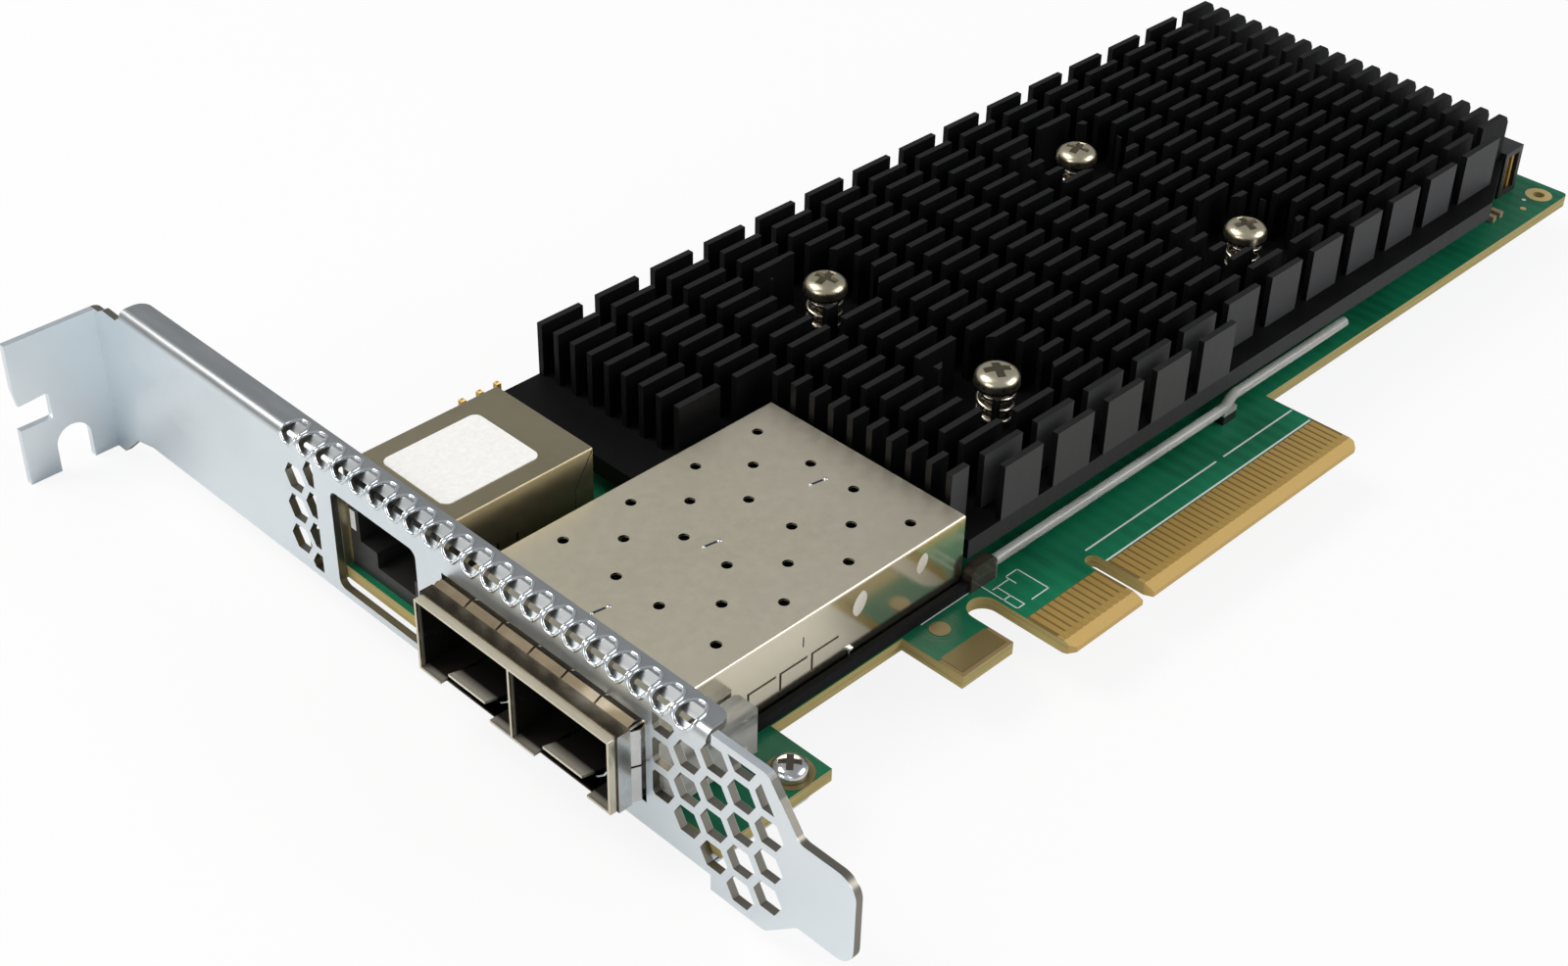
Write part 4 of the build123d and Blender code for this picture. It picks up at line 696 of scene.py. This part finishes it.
def add_recess_floors(name, screw, seats):
    """Dark floors of painted shade in the recesses of a set of screws, turned like the screws."""
    slope = (RECESS_MOUTH - RECESS_FOOT) / (RECESS_DEEP + RECESS_OVER)
    share = RECESS_FOOT + (RECESS_DEEP - screw.floor) * slope
    levels = ((screw.head_h - RECESS_DEEP, RECESS_FOOT), (screw.head_h - screw.floor, share))
    bm = bmesh.new()
    add_cross(bm, screw.recess * 0.99, levels)
    cross = template(name + "_cross", bm)
    repeat(name, cross, seats, recess_shade, turn=screw.turn, seed=screw.seed)


# Screws of the heat sink, with their collars and springs
lo, hi = box_mm("heat_sink_screws")
seat_z = hi[2] - SINK_SCREW.head_h
screw_x = (lo[0] + SINK_SCREW.head_r, hi[0] - SINK_SCREW.head_r)
screw_y = (lo[1] + SINK_SCREW.head_r, hi[1] - SINK_SCREW.head_r)
sink_seats = [(x, y, seat_z) for x in screw_x for y in screw_y]
sink_screws = repeat("sink_screws", pan_screw(SINK_SCREW, lo[2] - seat_z), sink_seats, mats["screw_steel"],
                     turn=SINK_SCREW.turn, seed=SINK_SCREW.seed)
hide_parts("heat_sink_screws")
add_recess_floors("sink_recesses", SINK_SCREW, sink_seats)

COLLAR_R, COLLAR_H, COLLAR_EASE = 2.45, 0.5, 0.1
bore = SINK_SCREW.shank_r
collar = [(bore, -COLLAR_H), (COLLAR_R - COLLAR_EASE, -COLLAR_H), (COLLAR_R, COLLAR_EASE - COLLAR_H)]
collar += [(COLLAR_R, 0.0), (bore, 0.0), (bore, -COLLAR_H)]
bm = bmesh.new()
add_turned(bm, collar, steps=40)
repeat("screw_collars", template("collar", bm), sink_seats, mats["spring_steel"])

SPRING_R, SPRING_WIRE_R, SPRING_TURNS = 1.95, 0.36, 2.5
spring_lo, spring_hi = box_mm("heat_sink_springs")
spring_feet = [(x, y, spring_lo[2] + SPRING_WIRE_R) for x in screw_x for y in screw_y]
springs = coil("sink_springs", spring_feet, SPRING_R, SPRING_WIRE_R, SPRING_TURNS,
               spring_hi[2] - spring_lo[2] - 2 * SPRING_WIRE_R, mats["spring_steel"])
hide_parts("heat_sink_springs")

# Screws of the bracket: the near one sits on a pad
lo, hi = box_mm("bracket_screws")
r = BRACKET_SCREW.head_r
pad_z = BOARD_TOP + PAD_THICK
bracket_seats = [(lo[0] + r, lo[1] + r, pad_z), (lo[0] + r, hi[1] - r, BOARD_TOP)]
bracket_pan = pan_screw(BRACKET_SCREW, lo[2] - pad_z)
bracket_screws = repeat("bracket_screw_set", bracket_pan, bracket_seats, silver_screw,
                        turn=BRACKET_SCREW.turn, seed=BRACKET_SCREW.seed)
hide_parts("bracket_screws")
add_recess_floors("bracket_recesses", BRACKET_SCREW, bracket_seats)

# Marks in the cage's sheet, as places on its top and on its near side
CAGE_SLITS = ((-51.1, 28.72), (-36.12, 28.79), (-20.81, 28.70))
SLIT_RUN = Vector((0.98, -0.18, 0.0))
CAGE_DENTS = ((-29.75, 7.88, 1.15, 1.45), (-20.5, 7.85, 0.95, 1.2))
SUNK = 0.02


def add_slit_bar(bm, start, shift, half_w, high):
    """A thin bar along a slit's run, shifted across it and standing out of the cage's top."""
    across = Vector((-SLIT_RUN.y, SLIT_RUN.x, 0.0)).normalized()
    ends = [start + SLIT_RUN * far + across * shift for far in (-0.85, 0.60)]
    side = across * half_w
    outline = [ends[0] - side, ends[1] - side, ends[1] + side, ends[0] + side]
    add_prism(bm, outline, [p + Vector((0, 0, high + SUNK)) for p in outline])


def add_bump(bm, place, r, h):
    """A low round bump standing on a level face."""
    lifts = [math.pi / 2 * j / 4 for j in range(4)]
    add_turned(bm, [(r * math.cos(a), h * math.sin(a)) for a in lifts] + [(0.0, h)], place, steps=14)


def add_dent(bm, x, z, half_w, half_h):
    """A shallow leaf-shaped point on the cage's near side."""
    ring = []
    for k in range(20):
        a = 2 * math.pi * k / 20
        along = half_h * math.cos(a)
        wide = half_w * math.sin(a) * abs(math.sin(a)) ** 0.35
        ring.append(bm.verts.new((x + wide * 0.85 + along * 0.2, cage_lo[1] - 0.01, z + along)))
    middle = bm.verts.new((x, cage_lo[1] - 0.10, z))
    for k in range(20):
        bm.faces.new((ring[k], ring[(k + 1) % 20], middle))
    bm.faces.new(ring)


bright, dark, dents = bmesh.new(), bmesh.new(), bmesh.new()
for x, y in CAGE_SLITS:
    start = Vector((x, y, cage_hi[2] - SUNK))
    add_bump(bright, start - SLIT_RUN, 0.20, 0.17)
    add_bump(bright, start + SLIT_RUN * 0.95, 0.27, 0.17)
    # Each slit is a dark bar of painted shade, with a thin bright bar beside it as a painted highlight on
    # its edge
    add_slit_bar(dark, start, 0.0, 0.11, 0.02)
    add_slit_bar(bright, start, 0.15, 0.04, 0.05)
for dent in CAGE_DENTS:
    add_dent(dents, *dent)
# A tear, drawn as a dark bar of painted shade, and a small hook on the near side
near_y = cage_lo[1]
add_box(dark, (-37.82, near_y - SUNK, 6.95), (-37.68, near_y + 0.05, 8.15))
add_box(bright, (-31.45, near_y - 0.30, 1.7), (-31.15, near_y + SUNK, 2.9), 0.06)
add_box(bright, (-31.45, near_y - 0.30, 2.6), (-30.7, near_y + SUNK, 2.9), 0.06)
piece("cage_marks", bright, bright_lip, smooth=50)
piece("cage_leaves", dents, dent_sheet, smooth=20)
# Dark bars of painted shade in the slits and the tear
piece("cage_slits", dark, dark_well)

# The rim outside the bracket's corner vent, which the sheet's sloped edge passes
half_flat = VENT_FLAT / 2
vent_r = VENT_FLAT / math.sqrt(3)
low_z, high_z = CORNER_VENT_Z - half_flat, CORNER_VENT_Z + half_flat
rim = [
    (CORNER_VENT_Y - vent_r / 2 + 0.28, low_z),
    (CORNER_VENT_Y + vent_r / 2 + 0.18, CORNER_VENT_Z + 1.26),
    (CORNER_VENT_Y + vent_r / 2, high_z),
    (CORNER_VENT_Y - vent_r + CORNER_SLOPE_Y, high_z),
    (CORNER_VENT_Y - vent_r, CORNER_VENT_Z),
    (CORNER_VENT_Y - vent_r / 2, low_z),
]
bm = bmesh.new()
add_prism(bm, *[[(x, y, z) for y, z in rim] for x in (PLATE_OUT_X, PLATE_IN_X)])
piece("vent_corner_rim", bm, mats["bracket_steel"])

# Rolled lips round the vents that pass over the bracket's bend
LIP_OFFSET, LIP_R, LIP_SIDES = 0.14, 0.19, 10


def on_bend(u, y):
    """A point of the sheet's outer skin, u mm along the 45 degree line from the bend's middle."""
    if abs(u) <= BEND_OUT_R / math.sqrt(2):
        out = math.sqrt(BEND_OUT_R ** 2 - u ** 2)
    else:
        out = BEND_OUT_R * math.sqrt(2) - abs(u)
    slant = math.sqrt(0.5)
    x = PLATE_OUT_X + BEND_OUT_R + (u - out) * slant
    z = FLANGE_TOP_Z - BEND_OUT_R + (u + out) * slant
    return Vector((x, y, z))


def vent_outline(offset, parts=6):
    """The vent's outline with cut corners, as (u, y) points with the corners eased."""
    u0, u1 = BEND_VENT_LOW - offset, BEND_VENT_HIGH + offset
    w = BEND_VENT_HALF_W + offset
    c = BEND_VENT_CORNER + 0.6 * offset
    corners = [(u0 + c, -w), (u1 - c, -w), (u1, c - w), (u1, w - c)]
    corners += [(u1 - c, w), (u0 + c, w), (u0, w - c), (u0, c - w)]
    points = []
    for k, a in enumerate(corners):
        b = corners[(k + 1) % len(corners)]
        points += [Vector(a).lerp(Vector(b), i / parts) for i in range(parts)]
    for _ in range(3):
        n = len(points)
        points = [(points[k - 1] + points[k] * 2 + points[(k + 1) % n]) / 4 for k in range(n)]
    return points


def add_lip(bm):
    """A round wire that follows the vent's outline on the sheet's skin."""
    path = [on_bend(*p) for p in vent_outline(LIP_OFFSET)]
    outwards = Vector((-1, 0, 1)).normalized()
    rings = []
    for k, p in enumerate(path):
        along = (path[(k + 1) % len(path)] - path[k - 1]).normalized()
        side = along.cross(outwards).normalized()
        high = side.cross(along)
        angles = [2 * math.pi * j / LIP_SIDES for j in range(LIP_SIDES)]
        rings.append([bm.verts.new(p + (side * math.cos(a) + high * math.sin(a)) * LIP_R) for a in angles])
    for k, ring in enumerate(rings):
        after = rings[(k + 1) % len(rings)]
        for j in range(LIP_SIDES):
            n = (j + 1) % LIP_SIDES
            bm.faces.new((ring[j], ring[n], after[n], after[j]))


bm = bmesh.new()
add_lip(bm)
vent_places = [(0, BEND_VENT_Y0 + i * BEND_VENT_PITCH, 0) for i in range(BEND_VENTS)]
repeat("vent_lips", template("lip", bm, 80), vent_places, bright_lip)

# The can's grounding strip between the bracket and the jack's far side
STRIP_TOP_Z, STRIP_OUT = 11.3, 0.13
bm = bmesh.new()
add_box(bm, (PLATE_IN_X + 0.03, jack_hi[1] - SUNK, BOARD_TOP + 0.1),
        (jack_lo[0] + SUNK, jack_hi[1] + STRIP_OUT, STRIP_TOP_Z), 0.04)
piece("can_ground_strip", bm, can_sheet)

# Seams of the jack's can: the folded flap near its far corner, as (x, z) points
FLAP = ((-36.95, 13.6), (-39.4, 9.6), (-39.4, 1.2))
SEAM_HALF_W = 0.06
bm = bmesh.new()
for a, b in zip(FLAP, FLAP[1:]):
    a, b = (Vector((x, jack_lo[1] - 0.012, z)) for x, z in (a, b))
    run = b - a
    side = Vector((run.z, 0, -run.x)).normalized() * SEAM_HALF_W
    outline = [a + side, b + side, b - side, a - side]
    add_prism(bm, outline, [p + Vector((0, 0.03, 0)) for p in outline])
piece("can_seams", bm, dark_well)

# Solder round the jack's two tabs under the board, where they pass it
PIN_R = 0.36
cone = [(PIN_R, -0.62), (0.48, -0.4), (0.72, -0.12), (0.95, 0.0), (PIN_R, 0.0), (PIN_R, -0.62)]
bm = bmesh.new()
add_turned(bm, cone, steps=20)
tab_places = [(jack_lo[0] + JACK_TAB_X, y, -BOARD_TOP) for y in (jack_lo[1] + 0.1, jack_hi[1] - 0.1)]
repeat("solder_joints", template("joint", bm), tab_places, solder)

# Faint rings round the test pad
TEST_PAD, RING_H = (-20.35, 11.35, BOARD_TOP), 0.012
bm = bmesh.new()
for inner, outer in ((1.45, 1.60), (2.05, 2.25)):
    ring = [(inner, 0.0), (inner, RING_H), (outer, RING_H), (outer, 0.0), (inner, 0.0)]
    add_turned(bm, ring, TEST_PAD, steps=48)
piece("test_pad_rings", bm, mask_dark, smooth=30)

# White print on the board without letters, as x and y from and to, and a dot at the far corner
INK = 0.02
LONG_LINES = ((1.0, 39.2, 6.40, 6.62), (0.74, 24.4, 9.05, 9.27), (25.8, 39.3, 9.05, 9.27))
RIGHT_FRAME = ((-7.12, -6.98, 7.85, 12.25), (-9.8, -6.98, 7.80, 7.94), (-9.0, -6.98, 12.13, 12.27),
               (-9.0, -8.86, 10.7, 12.27), (-11.6, -8.9, 11.63, 11.76))
LEFT_FRAME = ((-12.1, -11.97, 7.85, 12.9), (-11.0, -10.87, 8.0, 11.7), (-12.1, -10.87, 7.85, 7.98),
              (-12.1, -10.87, 9.75, 9.88), (-21.3, -12.5, 13.06, 13.18))
FAR_DOT, FAR_DOT_R = (104.69, 16.39, BOARD_TOP), 0.30
bm = bmesh.new()
for x0, x1, y0, y1 in LONG_LINES + RIGHT_FRAME + LEFT_FRAME:
    add_box(bm, (x0, y0, BOARD_TOP), (x1, y1, BOARD_TOP + INK))
add_turned(bm, [(0.0, 0.0), (FAR_DOT_R, 0.0), (FAR_DOT_R, INK), (0.0, INK)], FAR_DOT, steps=16)
piece("print_lines", bm, white_print)

# Camera at the photograph's angle: its place in millimetres, and its lens in the photograph's pixels
CAMERA_PLACE = Vector((-161.73, -102.23, 152.91))
CAMERA_LOOK = Vector((0.58459, 0.56774, -0.57959)).normalized()
CAMERA_ROLL = math.radians(1.374)
WIDTH, HEIGHT, FOCAL = 1600.0, 986.0, 2335.89
CENTRE_X, CENTRE_Y = 794.64, 446.15
SENSOR = 36.0
level = CAMERA_LOOK.cross(Vector((0, 0, 1))).normalized()
upright = level.cross(CAMERA_LOOK)
right = level * math.cos(CAMERA_ROLL) + upright * math.sin(CAMERA_ROLL)
up = upright * math.cos(CAMERA_ROLL) - level * math.sin(CAMERA_ROLL)
camera_data = bpy.data.cameras.new("camera")
camera = link_new("camera", camera_data)
camera.matrix_world = (Matrix.Translation(CAMERA_PLACE * MM)
                       @ Matrix((right, up, -CAMERA_LOOK)).transposed().to_4x4())
camera_data.sensor_width = SENSOR
camera_data.lens = FOCAL / WIDTH * SENSOR
camera_data.shift_x = (WIDTH / 2 - CENTRE_X) / WIDTH
camera_data.shift_y = (CENTRE_Y - HEIGHT / 2) / WIDTH
camera_data.clip_start = 0.01
camera_data.clip_end = 20.0
bpy.context.scene.camera = camera

# Floor, which keeps the card's shadow and is nearly white to the camera
FLOOR_HALF = 4.0
corners = [(x * FLOOR_HALF, y * FLOOR_HALF, cad_box[0][2]) for x, y in ((-1, -1), (1, -1), (1, 1), (-1, 1))]
mesh = bpy.data.meshes.new("floor")
mesh.from_pydata(corners, [], [(0, 1, 2, 3)])
floor = link_new("floor", mesh)
t = Tree("floor")
t.put(Base_Color=t.ramp(t.noise(3.0), (0.0, (0.78, 0.78, 0.78)), (1.0, (0.80, 0.80, 0.80))), Roughness=0.9)
to_camera = t.new("ShaderNodeLightPath").outputs["Is Camera Ray"]
glow = t.new("ShaderNodeEmission")
glow.inputs["Strength"].default_value = 1.0
blend = t.new("ShaderNodeMixShader")
t.join(t.times(to_camera, 0.88), blend.inputs["Fac"])
t.join(t.bsdf.outputs[0], blend.inputs[1])
t.join(glow.outputs[0], blend.inputs[2])
t.join(blend.outputs[0], t.nt.nodes["Material Output"].inputs["Surface"])
floor.data.materials.append(t.mat)

# World: soft bluish light, white behind the floor
world = bpy.data.worlds.new("studio")
bpy.context.scene.world = world
world.use_nodes = True
nt = world.node_tree
sky = nt.nodes["Background"]
sky.inputs["Color"].default_value = (0.93, 0.96, 1.0, 1.0)
sky.inputs["Strength"].default_value = 0.38
white = nt.nodes.new("ShaderNodeBackground")
white.inputs["Color"].default_value = (1.0, 1.0, 1.0, 1.0)
path = nt.nodes.new("ShaderNodeLightPath")
both = nt.nodes.new("ShaderNodeMixShader")
nt.links.new(path.outputs["Is Camera Ray"], both.inputs["Fac"])
nt.links.new(sky.outputs[0], both.inputs[1])
nt.links.new(white.outputs[0], both.inputs[2])
nt.links.new(both.outputs[0], nt.nodes["World Output"].inputs["Surface"])


def add_lamp(name, place, size, power, colour=(1, 1, 1), aim=(0.02, 0.04, 0.0)):
    """A rectangular lamp at a place in metres, pointed at the card."""
    light = bpy.data.lights.new(name, "AREA")
    light.shape = "RECTANGLE"
    light.size, light.size_y = size
    light.energy = power
    light.color = colour
    lamp = link_new(name, light)
    lamp.location = place
    lamp.rotation_euler = (Vector(aim) - Vector(place)).to_track_quat("-Z", "Y").to_euler()


add_lamp("key", (-0.35, 0.45, 0.70), (0.5, 0.4), 5.0, (1.0, 0.97, 0.92))
add_lamp("fill", (0.45, -0.55, 0.45), (0.6, 0.4), 3.5, (0.97, 0.98, 1.0))
add_lamp("front", (-0.70, 0.05, 0.22), (0.35, 0.3), 1.1)
bpy.context.scene.view_settings.view_transform = "Standard"
